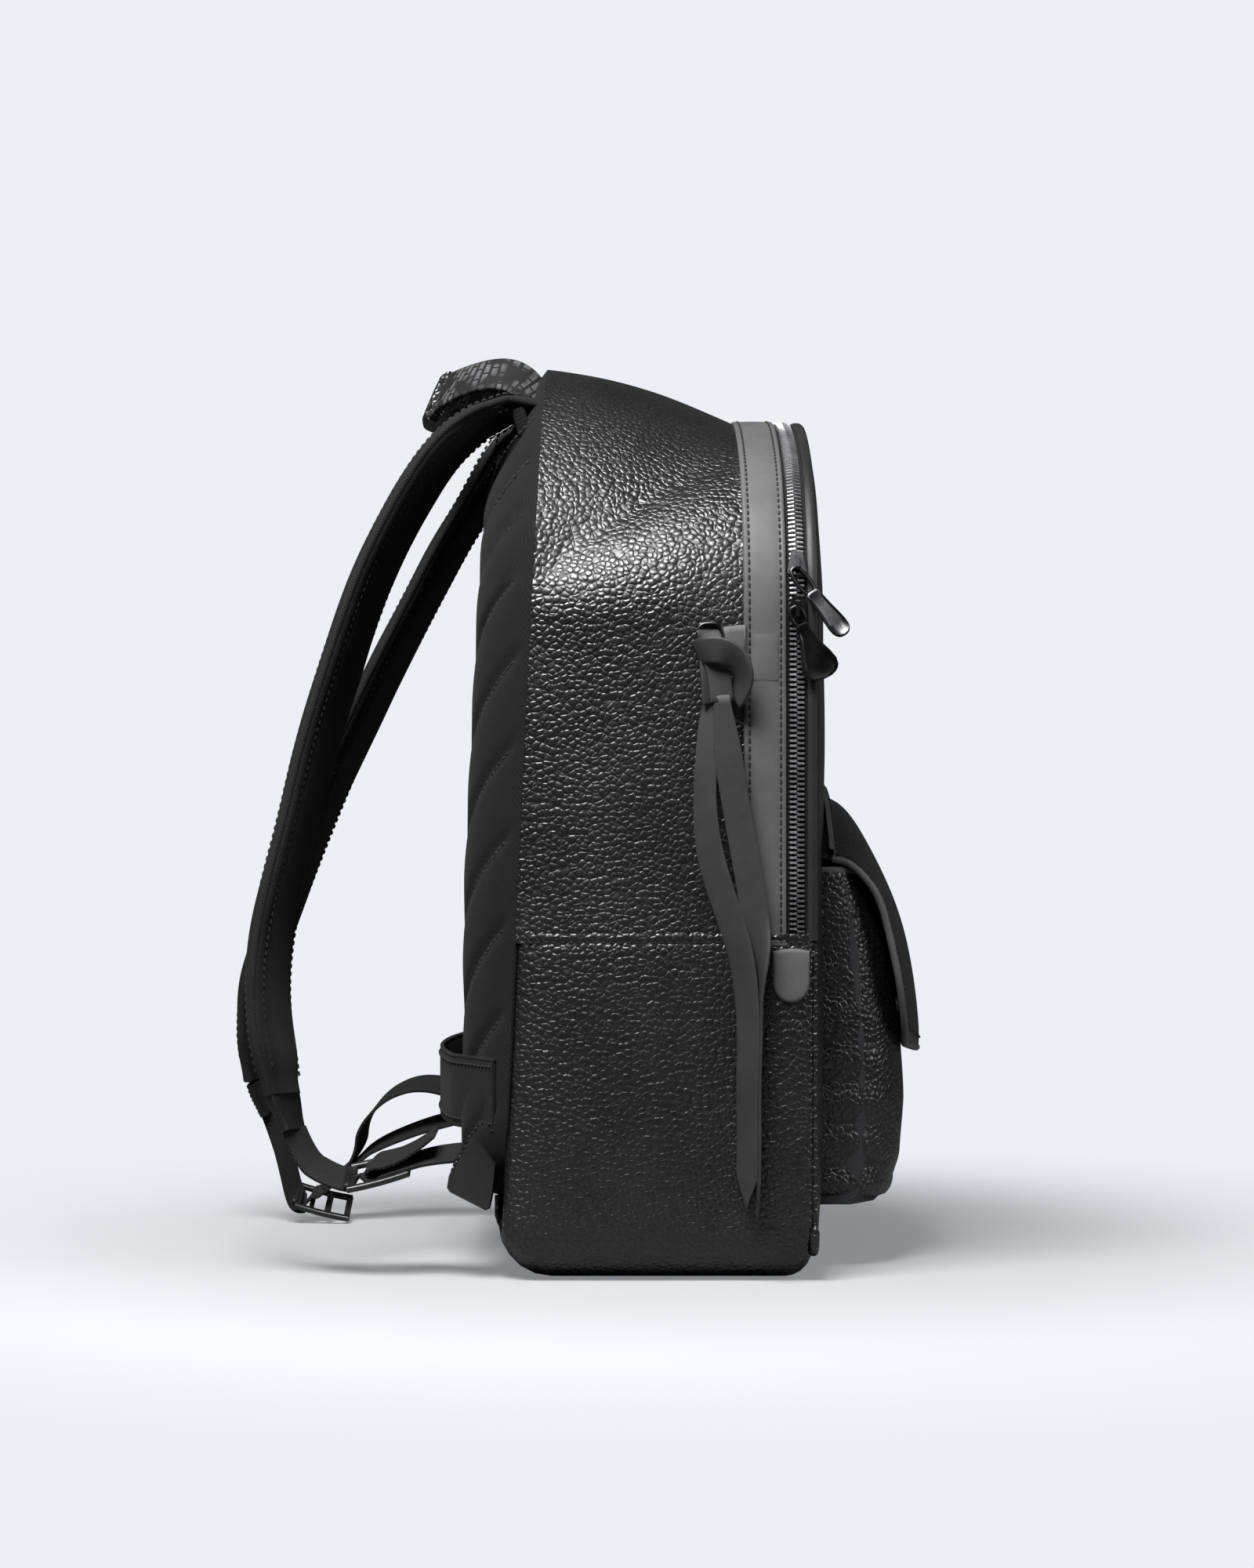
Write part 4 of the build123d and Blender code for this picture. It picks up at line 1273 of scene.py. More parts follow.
@dataclass
class BackPanel:
    """Quilted back pad with its trolley band, anchors and strap yoke."""

    bottom: float = 34.0
    corner: float = 40.0
    rise: float = 24.5
    channel_pitch: float = 40.0
    channel_slope: float = 0.9
    channel_depth: float = 2.0

    def place(self, x: float, s: float, out: float) -> Vector:
        """Point on the leaning back plane, moved outwards."""
        lean = math.atan(20.0 / 420.0)
        along = Vector((0.0, -math.sin(lean), math.cos(lean)))
        away = Vector((0.0, math.cos(lean), math.sin(lean)))
        return Vector((x, 70.0, 0.0)) + along * s + away * out

    def height(self, inward: float, x: float, s: float) -> float:
        """Rise of the pad at a point.

        Args:
            inward: distance from the seam.
            x: place across the bag.
            s: height on the back plane.

        Returns:
            Distance from the back plane.
        """
        top = smooth((s - 290.0) / 120.0)
        low = 1.0 - smooth((s - self.bottom) / 60.0)
        reach = 50.0 + 34.0 * top - 38.0 * low
        share = min(inward / reach, 1.0)
        level = self.rise - 5.0 * (1.0 - smooth((s - 40.0) / 150.0))
        body = level * math.sin(0.5 * math.pi * share) ** 0.85
        line = s - self.channel_slope * abs(x) + 4.0
        off = abs((line / self.channel_pitch + 0.5) % 1.0 - 0.5) * self.channel_pitch
        groove = self.channel_depth * math.exp(-((off * 0.74 / 2.4) ** 2)) * smooth(inward / 10.0)
        pillow = 1.1 * math.sin(math.pi * min(off / (0.5 * self.channel_pitch), 1.0) * 0.5)
        return body - groove + pillow * smooth(inward / 14.0)

    def pad(self) -> None:
        """Padded cover with chevron quilting."""
        top = 420.0 / math.cos(math.atan(20.0 / 420.0))
        upper = Arch(top).walk(0.3, self.bottom + self.corner, (90, 60, 34))
        half = 139.7
        corner, floor = [], []
        for i in range(1, 16):
            turn = 0.5 * math.pi * i / 15.0
            corner.append(
                (
                    half - self.corner + self.corner * math.cos(turn),
                    self.bottom + self.corner - self.corner * math.sin(turn),
                )
            )
        for i in range(1, 40):
            floor.append(((half - self.corner) * (1.0 - i / 20.0), self.bottom))
        outline = [(x, z) for x, z, _, _ in upper] + corner + floor
        outline += [(-x, z) for x, z in reversed(corner)]
        rows = []
        steps = 74
        for k in range(steps + 1):
            share = (k / steps) ** 1.1
            row = []
            for x, s in outline:
                spine_x, spine_s = 0.03 * x, min(max(s, 90.0), 330.0)
                px, ps = x + (spine_x - x) * share, s + (spine_s - s) * share
                inward = math.hypot(px - x, ps - s)
                row.append(self.place(px, ps, 0.2 + self.height(inward, px, ps)))
            rows.append(row)
        skirt = [self.place(x * 0.995, s, -0.8) for x, s in outline]
        blank = Blank()
        blank.grid([skirt, *rows], ring=True)
        wide = len(outline)
        blank.faces.append(tuple(range((steps + 1) * wide, (steps + 2) * wide)))
        pad = blank.build("back_pad_cover", (0, 0, 200))
        settle(pad, QUILTED, Body.BAG, "back_panel_cover", "back_foam")

    def quilting(self) -> None:
        """Thread along every quilted channel."""
        thread = Blank()
        away = Vector((0.0, 1.0, 0.05))
        for side in Side:
            for k in range(-3, 10):
                path = []
                for i in range(60):
                    x = 2.0 + 2.2 * i
                    s = self.channel_slope * x - 4.0 + self.channel_pitch * k
                    edge = self.half_at(s) - x
                    inward = min(edge, s - self.bottom)
                    if inward > 6.0:
                        path.append(self.place(side.value * x, s, 0.3 + self.height(inward, x, s)))
                if len(path) > 4:
                    thread.stitches(path, [away] * len(path))
        settle(thread.build("quilting_thread"), THREAD, Body.BAG)

    def half_at(self, s: float) -> float:
        """Half width of the pad at a height on the back plane."""
        if s < self.bottom + self.corner:
            drop = max(self.bottom + self.corner - s, 0.0)
            return 140.0 - self.corner + math.sqrt(max(self.corner**2 - drop**2, 0.0))
        if s < 290.0:
            return 140.0
        return math.sqrt(max(141.5**2 - (s - 279.2) ** 2, 0.0)) - 1.0

    def trolley_band(self) -> None:
        """Woven band across the low back, bound at both edges."""
        low, high = 66.0, 97.0
        plan = []
        for i in range(41):
            x = -134.0 + 268.0 * i / 40.0
            bow = 101.5 - 8.7 * (min(abs(x), 96.0) / 96.0) ** 2
            if abs(x) > 96.0:
                bow += (73.0 - 92.8) * (abs(x) - 96.0) / 39.0
            plan.append((x, bow))
        path = [Vector((x, y - 1.0, 0.5 * (low + high))) for x, y in plan]
        blank = Blank()
        blank.sweep(path, Vector((0, 0, 1)), lambda share: oval(high - low, 2.0, 0.35, 20))
        settle(blank.build("trolley_band_cloth"), STRAP_CLOTH, Body.BAG, "trolley_band")
        edges, thread = Blank(), Blank()
        for z in (low, high):
            line = [Vector((x, y - 1.0, z)) for x, y in plan]
            edges.tube(line, 1.0, 8)
            inner = z + (3.0 if z == low else -3.0)
            row = [Vector((x, y + 0.1, inner)) for x, y in plan]
            thread.stitches(row, [Vector((0, 1, 0))] * len(row))
        settle(edges.build("trolley_band_binding"), BINDING, Body.BAG)
        settle(thread.build("trolley_band_stitching"), THREAD, Body.BAG)

    def anchors(self) -> None:
        """Folded leather tabs that hold the lower webbing."""
        for side in Side:
            outer = [
                (71.5, 51.0), (72.6, 40.0), (74.2, 31.4), (76.5, 30.6), (84.0, 34.4), (92.2, 38.6), (93.4, 40.6),
                (92.6, 45.6), (88.2, 53.2), (83.6, 61.0), (81.4, 62.0), (78.4, 60.2),
            ]
            path = [Vector((side.value * (122.0 + 14.0 * (i / 6.0 * 2.0 - 1.0)), 0, 0)) for i in range(7)]
            rows = []
            for i, centre in enumerate(path):
                shrink = 0.94 if i in (0, 6) else 1.0
                rows.append(
                    [
                        Vector((centre.x, 81.0 + (y - 81.0) * shrink, 48.0 + (z - 48.0) * shrink))
                        for y, z in outer
                    ]
                )
            blank = Blank()
            blank.grid(rows, ring=True, caps=True)
            tab = blank.build(f"anchor_tab_leather_{side.label}", crease=35)
            settle(tab, EDGE, Body.BAG, f"anchor_tab_{side.label}")
            thread = Blank()
            for shift in (-11.0, 11.0):
                x = side.value * (122.0 + shift)
                row = [Vector((x, 84.5, 60.2)), Vector((x, 88.0, 54.4)), Vector((x, 91.0, 48.6))]
                thread.stitches(row, [Vector((0, 0.87, 0.5))] * 3, 2.9, 2.1)
            settle(thread.build(f"anchor_tab_stitching_{side.label}"), THREAD, Body.BAG)

    def yoke(self) -> None:
        """Reinforcement that joins the straps to the back seam."""
        path = [
            Vector((-72.0 + 144.0 * i / 30.0, 61.5, 392.5 - 5.0 * (i / 15.0 - 1.0) ** 2)) for i in range(31)
        ]
        blank = Blank()
        blank.sweep(path, Vector((0, 0.25, 1)), lambda share: oval(13.0, 6.0, 0.55, 18))
        settle(blank.build("strap_yoke_cloth"), STRAP_CLOTH, Body.BAG, "strap_yoke")

    def build(self) -> None:
        """Build every part of the back."""
        self.pad()
        self.quilting()
        self.trolley_band()
        self.anchors()
        self.yoke()


# ---------------------------------------------------------------- front pocket


@dataclass
class Pocket:
    """Bellows pocket with a rolled mouth and a domed, bound flap."""

    half: float = 95.0
    flap_half: float = 92.0
    panel_y: float = -72.4
    foot: float = 31.0
    mouth: float = 181.0
    corner: float = 22.0
    profile: tuple[tuple[float, float], ...] = (
        (31.0, 33.0), (36.0, 39.0), (49.0, 43.0), (75.7, 44.4), (103.7, 43.0), (143.0, 38.0), (181.0, 26.4),
    )
    flap_middle: tuple[tuple[float, float], ...] = (
        (-73.4, 219.5), (-84.0, 216.5), (-94.0, 210.0), (-104.5, 192.0),
        (-116.0, 166.0), (-122.5, 143.0), (-128.5, 106.0), (-127.5, 96.0),
    )
    flap_edge: tuple[tuple[float, float], ...] = (
        (-73.4, 187.0), (-80.6, 187.0), (-88.4, 185.0), (-96.2, 178.0),
        (-103.0, 168.0), (-108.0, 148.0), (-113.3, 122.0), (-116.0, 101.0),
    )

    def depth(self, z: float) -> float:
        """Depth of the pocket at a height."""
        points = self.profile
        for (z0, d0), (z1, d1) in zip(points, points[1:]):
            if z <= z1:
                return d0 + (d1 - d0) * smooth((z - z0) / (z1 - z0)) * 0.35 + 0.65 * (d1 - d0) * (z - z0) / (z1 - z0)
        return points[-1][1]

    def plan(self, z: float, shrink: float, count: int = 72) -> list[Vector]:
        """Outline of the pocket at a height, from left wall to right wall."""
        reach = self.depth(z) - shrink
        wide = self.half - shrink
        row = []
        for i in range(count + 1):
            turn = math.pi * i / count
            c, s = math.cos(turn), math.sin(turn)
            x = -wide * math.copysign(abs(c) ** 0.42, c)
            y = self.panel_y + 4.0 - (reach + 4.0) * abs(s) ** 0.62
            row.append(Vector((x, y, z)))
        return row

    def body(self) -> None:
        """Pebbled pocket body with soft folds at its foot and a rolled mouth."""
        rows = []
        base = self.plan(self.foot + 1.0, 0.0)
        centre = Vector((0.0, self.panel_y + 2.0, self.foot))
        for share in (0.05, 0.4, 0.75, 0.92):
            row = [centre.lerp(p, share) for p in base]
            for p in row:
                p.z = self.foot
            rows.append(row)
        for turn in (25.0, 50.0, 72.0):
            a = math.radians(turn)
            row = self.plan(self.foot + 9.0, 9.0 * (1.0 - math.sin(a)) * 0.55)
            for p in row:
                p.z = self.foot + 9.0 * (1.0 - math.cos(a))
            rows.append(row)
        z = self.foot + 9.0
        while z < self.mouth - 1.0:
            rows.append(self.plan(z, 0.0))
            z += 3.2
        rows.append(self.plan(self.mouth - 1.0, 0.0))
        for row in rows:
            for p in row:
                share = (p.z - self.foot) / (self.mouth - self.foot)
                away = Vector((p.x * 0.35, p.y - self.panel_y, 0.0)).normalized()
                p += away * (ripple(p, 1.7, 34.0) + 0.8 * math.sin(math.pi * share))
                side = smooth((abs(p.x) - 72.0) / 20.0)
                p += away * (side * 1.2 * math.sin(0.33 * p.z + 0.05 * p.x) * (1.0 - share) ** 2)
        blank = Blank()
        blank.grid(rows)
        body = blank.build("pocket_leather", (0, -85, 100), thickness=1.8)
        settle(body, PEBBLED, Body.BAG, "pocket_body")
        rim = self.plan(self.mouth - 0.6, 0.8)
        roll = Blank()
        roll.sweep(rim, Vector((0, 0, 1)), lambda share: oval(4.4, 2.9, 0.9, 10))
        settle(roll.build("pocket_mouth_roll"), SMOOTH, Body.BAG)
        thread = Blank()
        low = [p + Vector((0, 0, -5.0)) for p in self.plan(self.mouth, -0.35)]
        ways = [Vector((p.x * 0.2, p.y - self.panel_y - 3.0, 0)).normalized() for p in low]
        thread.stitches(low[6:-6], ways[6:-6])
        settle(thread.build("pocket_mouth_stitching"), THREAD, Body.BAG)

    def flap_point(self, u: float, s: float, lift: float = 0.0) -> Vector:
        """Point of the flap's outer skin.

        Args:
            u: share of the half width, from -1 to 1.
            s: share of the way from the seam to the lower edge.
            lift: distance out of the skin.

        Returns:
            The point.
        """
        middle, edge = self.flap_lines
        last = len(middle) - 1
        at = s * last
        i = min(int(at), last - 1)
        m = middle[i].lerp(middle[i + 1], at - i)
        e = edge[i].lerp(edge[i + 1], at - i)
        p = m.lerp(e, u * u)
        before, after = middle[max(i - 1, 0)], middle[min(i + 2, last)]
        along = (after - before).normalized()
        out = Vector((0.0, along.z, -along.y))
        round_off = 0.0
        if s > 0.82:
            q = (s - 0.82) / 0.18
            round_off = self.corner * (1.0 - math.sqrt(max(1.0 - q * q, 0.0)))
        wide = self.flap_half - round_off
        return Vector((u * wide, p.y, p.z)) + out * lift

    def flap(self) -> None:
        """Domed pebbled flap, its lining, bound edge and stitches."""
        self.flap_lines = [
            flowing([(0.0, y, z) for y, z in line], 10) for line in (self.flap_middle, self.flap_edge)
        ]
        shares = [i / 52.0 for i in range(53)]
        across = [math.sin(0.5 * math.pi * (i / 32.0)) for i in range(-32, 33)]
        rows = []
        for s in shares:
            row = []
            for u in across:
                point = self.flap_point(u, s)
                point.y -= ripple(point, 0.8, 40.0) * smooth(s * 4.0)
                row.append(point)
            rows.append(row)
        blank = Blank()
        blank.grid(rows)
        skin = blank.build("flap_leather", (0, -70, 120), thickness=1.7)
        settle(skin, PEBBLED, None, "flap_outer")
        blank = Blank()
        blank.grid([[self.flap_point(u * 0.985, s, -2.0) for u in across] for s in shares[:-1]])
        inner = blank.build("flap_lining_cloth", (0, -70, 120), thickness=0.5)
        settle(inner, LINING, None, "flap_lining")
        rim, tops = [], []
        for s in shares[5:]:
            rim.append(self.flap_point(-1.0, s, -0.9))
        for u in across[1:-1]:
            rim.append(self.flap_point(u, 1.0, -0.9))
        for s in reversed(shares[5:]):
            rim.append(self.flap_point(1.0, s, -0.9))
        roll = Blank()
        roll.tube(rim, 1.75, 10)
        binding = roll.build("flap_edge_binding")
        settle(binding, SMOOTH, None)
        row = []
        for s in shares[6:]:
            row.append(self.flap_point(-0.955, min(s, 0.965), 0.05))
        for u in across[3:-3]:
            row.append(self.flap_point(u * 0.955, 0.965, 0.05))
        for s in reversed(shares[6:]):
            row.append(self.flap_point(0.955, min(s, 0.965), 0.05))
        thread = Blank()
        tops = [Vector((0.35 * math.copysign(1.0, p.x) * (abs(p.x) > 70), -1.0, 0.25)).normalized() for p in row]
        thread.stitches(row, tops)
        seam = thread.build("flap_edge_stitching")
        settle(seam, THREAD, None)
        for piece in (skin, inner, binding, seam):
            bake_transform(piece)

    def flap_seam(self) -> None:
        """Stitched strip along the curved root of the flap."""
        root = [self.flap_point(math.sin(0.5 * math.pi * i / 24.0), 0.0) for i in range(-24, 25)]
        rows = []
        for rise, lift in ((-2.8, 0.4), (-2.3, 2.2), (0.0, 2.9), (2.3, 2.2), (2.8, 0.2)):
            rows.append([Vector((p.x, p.y - 6.5 - lift + 0.012 * abs(p.x), p.z + 1.2 + rise)) for p in root])
        blank = Blank()
        blank.grid(rows)
        strip = blank.build("flap_root_strip", (0, -60, 210), thickness=0.6)
        settle(strip, SMOOTH, Body.BAG, "flap_seam")
        thread = Blank()
        thread.stitches([Vector((p.x, p.y - 9.5 + 0.012 * abs(p.x), p.z + 1.2)) for p in root], [Vector((0, -1, 0))] * len(root))
        settle(thread.build("flap_root_stitching"), THREAD, Body.BAG)

    def build(self) -> None:
        """Build the pocket, then its flap."""
        self.body()
        self.flap()
        self.flap_seam()


# ---------------------------------------------------------------- zip pulls


@dataclass
class ZipPull:
    """Slider's pull: wire ring and flared tab."""

    name: str
    body: Body
    height: float
    drop: float
    neck: float
    length: float
    slim: float
    wide: float
    tilt: float

    def seat(self) -> tuple[Vector, Vector, Vector, Vector]:
        """Pivot, and the pull's across, up and outward directions."""
        leaning = self.height > 300.0
        lean = math.asin((self.height - 290.0) / 90.0) if leaning else 0.0
        out = Vector((-math.cos(lean), 0.0, math.sin(lean)))
        up = Vector((math.sin(lean), 0.0, math.cos(lean)))
        reach = 90.0 + 0.6 + 0.5
        origin = Vector((-(50.0 + reach * math.cos(lean)), -61.0, self.height))
        pivot = origin + out * (1.6 + 1.35)
        tilt = math.radians(self.tilt)
        front = Vector((0.0, -1.0, 0.0))
        across = front * math.cos(tilt) + up * math.sin(tilt)
        length = out.cross(across)
        return pivot, across, length, out

    def build(self) -> None:
        """Build the ring and the tab."""
        pivot, across, up, out = self.seat()
        pivot = pivot + Vector((0.0, 1.5, -self.drop))
        ring, reach = Blank(), self.neck

        def place(x: float, y: float, lift: float) -> Vector:
            """Point of the pull: across it, along it and out of its face."""
            return pivot + across * x + up * y + out * lift

        path = []
        for i in range(28):
            c, s = math.cos(2.0 * math.pi * i / 28.0), math.sin(2.0 * math.pi * i / 28.0)
            path.append(place(2.9 * math.copysign(abs(s) ** 0.7, s), 0.5 - reach + reach * c, 0.3 * c))
        rows = []
        for i in range(28):
            along = (path[(i + 1) % 28] - path[i - 1]).normalized()
            side = along.cross(out)
            rows.append([path[i] + side * u + out * v for u, v in oval(1.7, 1.7, 0.8, 8)])
        rows.append(rows[0])
        ring.grid(rows, ring=True)
        settle(ring.build(f"{self.name}_ring"), DARK_METAL, self.body)
        top = 1.4 - 2.0 * reach
        end = top - self.length
        outline = []
        for share, swell in ((0.0, 0.0), (0.12, 0.05), (0.25, 0.16), (0.4, 0.42), (0.58, 0.78), (0.74, 1.0)):
            outline.append((-self.slim - (self.wide - self.slim) * swell, top - self.length * share))
        for i in range(1, 10):
            turn = math.pi * i / 10.0
            c, s = math.cos(turn), math.sin(turn)
            depth = 0.24 * self.length * (0.4 + 0.6 * abs(s) ** 0.6)
            outline.append((-self.wide * math.copysign(abs(c) ** 0.8, c), end + 0.24 * self.length - depth * s**0.5))
        outline += [(-x, y) for x, y in reversed(outline[:6])]
        outline += [(0.6 * self.slim, top + 0.9), (-0.6 * self.slim, top + 0.9)]
        middle = top - 0.58 * self.length
        levels = [(0.86, -1.05), (0.97, -0.85), (1.0, -0.45), (1.0, 0.45), (0.97, 0.9), (0.88, 1.1), (0.78, 0.95)]
        levels += [(0.70, 0.5), (0.4, 0.5), (0.02, 0.5)]
        rows = []
        for scale, lift in levels:
            squeeze = scale if scale < 0.75 else 1.0 - (1.0 - scale) * 0.45
            rows.append([place(x * scale, middle + (y - middle) * squeeze, lift) for x, y in outline])
        tab = Blank()
        tab.grid(rows, ring=True)
        tab.faces.append(tuple(range(len(outline))))
        piece = tab.build(f"{self.name}_tab", crease=38)
        settle(piece, DARK_METAL, self.body, self.name)


# ---------------------------------------------------------------- straps


@dataclass
class ShoulderStrap:
    """Padded strap with its leather end, webbing and ladder buckle."""

    side: Side
    root: tuple[Point, ...]
    pad: tuple[Point, ...]
    tab: tuple[Point, ...]
    webbing: tuple[Point, ...]
    adjuster: tuple[Point, ...]
    tail: tuple[Point, ...]
    buckle: Point
    tilt: float
    width: float = 58.0
    thickness: float = 11.0
    webbing_width: float = 25.0
    twist: float = 0.17
    turn: Point = (1.0, -0.22, 0.27)

    @property
    def body(self) -> Body:
        """The strap's body."""
        return Body(f"strap_{self.side.label}")

    @property
    def across(self) -> Vector:
        """Direction of the pad's width."""
        return Vector((1.0, -self.twist, 0.0))

    def pad_width(self, share: float) -> float:
        """Width of the pad at a share of its length."""
        root = 44.0 + (self.width - 44.0) * smooth(share / 0.14)
        return root - 9.0 * smooth((share - 0.93) / 0.07)

    def pad_piece(self) -> None:
        """Padded strap with bound edges and two stitched channels."""
        path = flowing((*self.root, *self.pad), 7)
        across = self.across

        def section(share: float) -> Section:
            """Section of the pad: crowned faces and thin edges."""
            wide = self.pad_width(share)
            thick = self.thickness * (0.72 + 0.28 * smooth(share / 0.1)) * (1.0 - 0.35 * smooth((share - 0.95) / 0.05))
            ring = []
            for u, v in oval(wide, thick, 0.62, 36):
                edge = abs(u) / (0.5 * wide)
                groove = 0.9 * math.exp(-(((edge - 0.80) / 0.05) ** 2))
                ring.append((u, v - math.copysign(groove, v) * (edge < 0.95)))
            return ring

        blank = Blank()
        blank.sweep(path, across, section)
        for point in blank.points:
            point.y += ripple(point, 0.9, 36.0)
        pad = blank.build(f"strap_pad_cloth_{self.side.label}")
        settle(pad, STRAP_CLOTH, None, f"strap_pad_{self.side.label}")
        ways = tangents(path)
        total = len(path) - 1
        edges, thread = Blank(), Blank()
        for sign in (-1.0, 1.0):
            line, row, row_back, outs = [], [], [], []
            for i, (point, along) in enumerate(zip(path, ways)):
                wide = (across - along * across.dot(along)).normalized()
                through = wide.cross(along)
                half = 0.5 * self.pad_width(i / total)
                line.append(point + wide * (sign * (half - 0.6)))
                row.append(point + wide * (sign * half * 0.80) + through * (0.5 * self.thickness - 1.55))
                row_back.append(point + wide * (sign * half * 0.80) - through * (0.5 * self.thickness - 1.55))
                outs.append(through)
            edges.tube(line, 1.9, 8)
            thread.stitches(row[3:-3], outs[3:-3])
            thread.stitches(row_back[3:-3], [-o for o in outs[3:-3]])
        binding = edges.build(f"strap_binding_{self.side.label}")
        settle(binding, BINDING, None)
        seam = thread.build(f"strap_stitching_{self.side.label}")
        settle(seam, THREAD, None)
        for piece in (pad, binding, seam):
            self.body.value
            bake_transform(piece)

    def flat(
        self,
        name: str,
        route: Sequence[Point],
        finish: Finish,
        widths: tuple[float, float],
        thick: float,
        turn: Vector,
    ) -> list[Vector]:
        """Flat strip along a route.

        Args:
            name: name of the CAD node that it stands for, without the side.
            route: the route's points.
            finish: its finish.
            widths: width at its start and its end.
            thick: its thickness.
            turn: direction of its width.

        Returns:
            The strip's centre line.
        """
        path = flowing(route, 8)
        blank = Blank()
        blank.sweep(
            path,
            turn,
            lambda share: oval(widths[0] + (widths[1] - widths[0]) * smooth(share), thick, 0.3, 20),
        )
        piece = blank.build(f"{name}_strip_{self.side.label}", crease=60)
        settle(piece, finish, self.body, f"{name}_{self.side.label}")
        return path

    def buckle_piece(self) -> None:
        """Ladder-lock buckle: two curved rails and three bars."""
        centre, turn = Vector(self.buckle), math.radians(self.tilt)
        along = Vector((0.0, math.cos(turn), math.sin(turn)))
        out = Vector((0.0, -math.sin(turn), math.cos(turn)))
        across = Vector((0.97, 0.0, 0.24))
        out = (out - across * out.dot(across)).normalized()
        blank = Blank()
        for sign in (-1.0, 1.0):
            rail = []
            for i in range(13):
                share = i / 12.0 * 2.0 - 1.0
                rail.append(centre + across * (sign * 15.2) + along * (14.0 * share) + out * (0.6 * share * share))
            blank.sweep(rail, across, lambda share: oval(3.8, 3.0, 0.6, 12))
        for place, size in ((-13.0, 3.2), (-2.9, 3.4), (5.6, 2.6), (12.9, 3.6)):
            bar = [centre + across * (x * 15.4) + along * place + out * 0.1 for x in (-1.0, -0.5, 0.0, 0.5, 1.0)]
            blank.sweep(bar, along, lambda share, size=size: oval(size, 2.6, 0.6, 12))
        lip = [centre + across * (x * 12.0) + along * 14.6 + out * 1.4 for x in (-1.0, -0.4, 0.4, 1.0)]
        blank.sweep(lip, along, lambda share: oval(3.0, 1.6, 0.8, 12))
        piece = blank.build(f"ladder_buckle_{self.side.label}")
        settle(piece, BUCKLE, Body(f"buckle_{self.side.label}"), f"strap_buckle_{self.side.label}")

    def build(self) -> None:
        """Build every part of the strap."""
        self.pad_piece()
        line = self.flat("strap_tab", self.tab, EDGE, (46.0, 30.0), 4.6, self.across)
        ways = tangents(line)
        thread = Blank()
        for sign in (-1.0, 1.0):
            row, outs = [], []
            for i, (point, along) in enumerate(zip(line, ways)):
                wide = (self.across - along * along.dot(self.across)).normalized()
                half = 0.5 * (46.0 - 16.0 * smooth(i / (len(line) - 1)))
                row.append(point + wide * (sign * (half - 3.0)) + wide.cross(along) * 2.2)
                outs.append(wide.cross(along))
            thread.stitches(row, outs, 2.9, 2.1)
        settle(thread.build(f"strap_tab_stitching_{self.side.label}"), THREAD, self.body)
        wide = self.webbing_width
        for name, route in (
            ("strap_webbing", self.webbing), ("strap_adjuster", self.adjuster), ("strap_tail", self.tail),
        ):
            self.flat(name, route, WEBBING, (wide, wide), 1.7, Vector(self.turn))
        self.buckle_piece()


STRAPS = (
    ShoulderStrap(
        Side.LEFT,
        root=((-49, 55, 396), (-49.5, 64, 397)),
        pad=(
            (-50, 72.5, 393.5), (-52, 85, 387.5), (-55, 99.6, 374), (-59, 114, 351),
            (-63, 128.5, 322), (-67, 139, 293), (-72, 148, 264), (-78, 156, 235),
            (-84, 163, 202.5), (-90, 171, 170), (-96, 175.5, 141), (-101, 175.5, 116),
            (-105, 171, 90), (-106, 168.5, 80),
        ),
        tab=((-106.1, 168.6, 81), (-107, 166, 71.5), (-108, 163.4, 64)),
        webbing=(
            (-108.3, 162.9, 64.6), (-109.5, 157.5, 51), (-111, 149, 45.5), (-112.5, 139, 42.0), (-113, 134.5, 41.6),
            (-113, 133.5, 44.5),
        ),
        adjuster=(
            (-113.5, 129.5, 47.6), (-113.5, 126.5, 44.6), (-113.6, 121, 47.4), (-114.6, 112, 50.2), (-116.5, 99, 54),
            (-118.5, 88.2, 55),
        ),
        tail=((-113.4, 129.6, 47.0), (-113.5, 127, 50.2), (-113.7, 120, 51.8), (-114, 114, 53.8), (-115, 105, 59), (-116, 99, 64)),
        buckle=(-113.5, 124, 46.2),
        tilt=-15.0,
    ),
    ShoulderStrap(
        Side.RIGHT,
        root=((49, 56, 399), (49.5, 66, 396)),
        pad=(
            (50, 74, 386), (53, 87, 361), (57, 100, 341), (61, 116, 311), (65, 132, 281),
            (68, 143.5, 258), (72, 157, 230), (77, 169.5, 200), (83, 182, 169.5),
            (89, 193, 140), (93, 197.5, 124), (97, 199.5, 108), (99, 200, 92), (100, 198.5, 75),
        ),
        tab=((100.2, 198.2, 75), (101.5, 196.4, 65), (103, 194.2, 58)),
        webbing=((103.2, 194.2, 58.4), (105, 188.5, 43), (106, 184.8, 28), (106.5, 182, 15), (106.8, 179, 8.6), (107, 175.5, 8.6)),
        adjuster=(
            (107, 174.8, 9.4), (107, 172, 13.4), (107, 168, 15), (108, 160, 20.5), (110, 149.7, 29.5), (112, 139.6, 38),
            (115, 119, 46.5), (117.5, 99, 52), (118.5, 89.2, 54.2),
        ),
        tail=(
            (107.5, 167, 16.5), (109.5, 156, 25), (110, 148, 36), (110, 146, 49), (110, 138.4, 59.4), (110.5, 129.9, 66),
            (111, 119, 70), (111.5, 107, 69.5), (112, 100, 67),
        ),
        buckle=(107, 166.5, 8.8),
        tilt=14.0,
    ),
)


# ---------------------------------------------------------------- handle


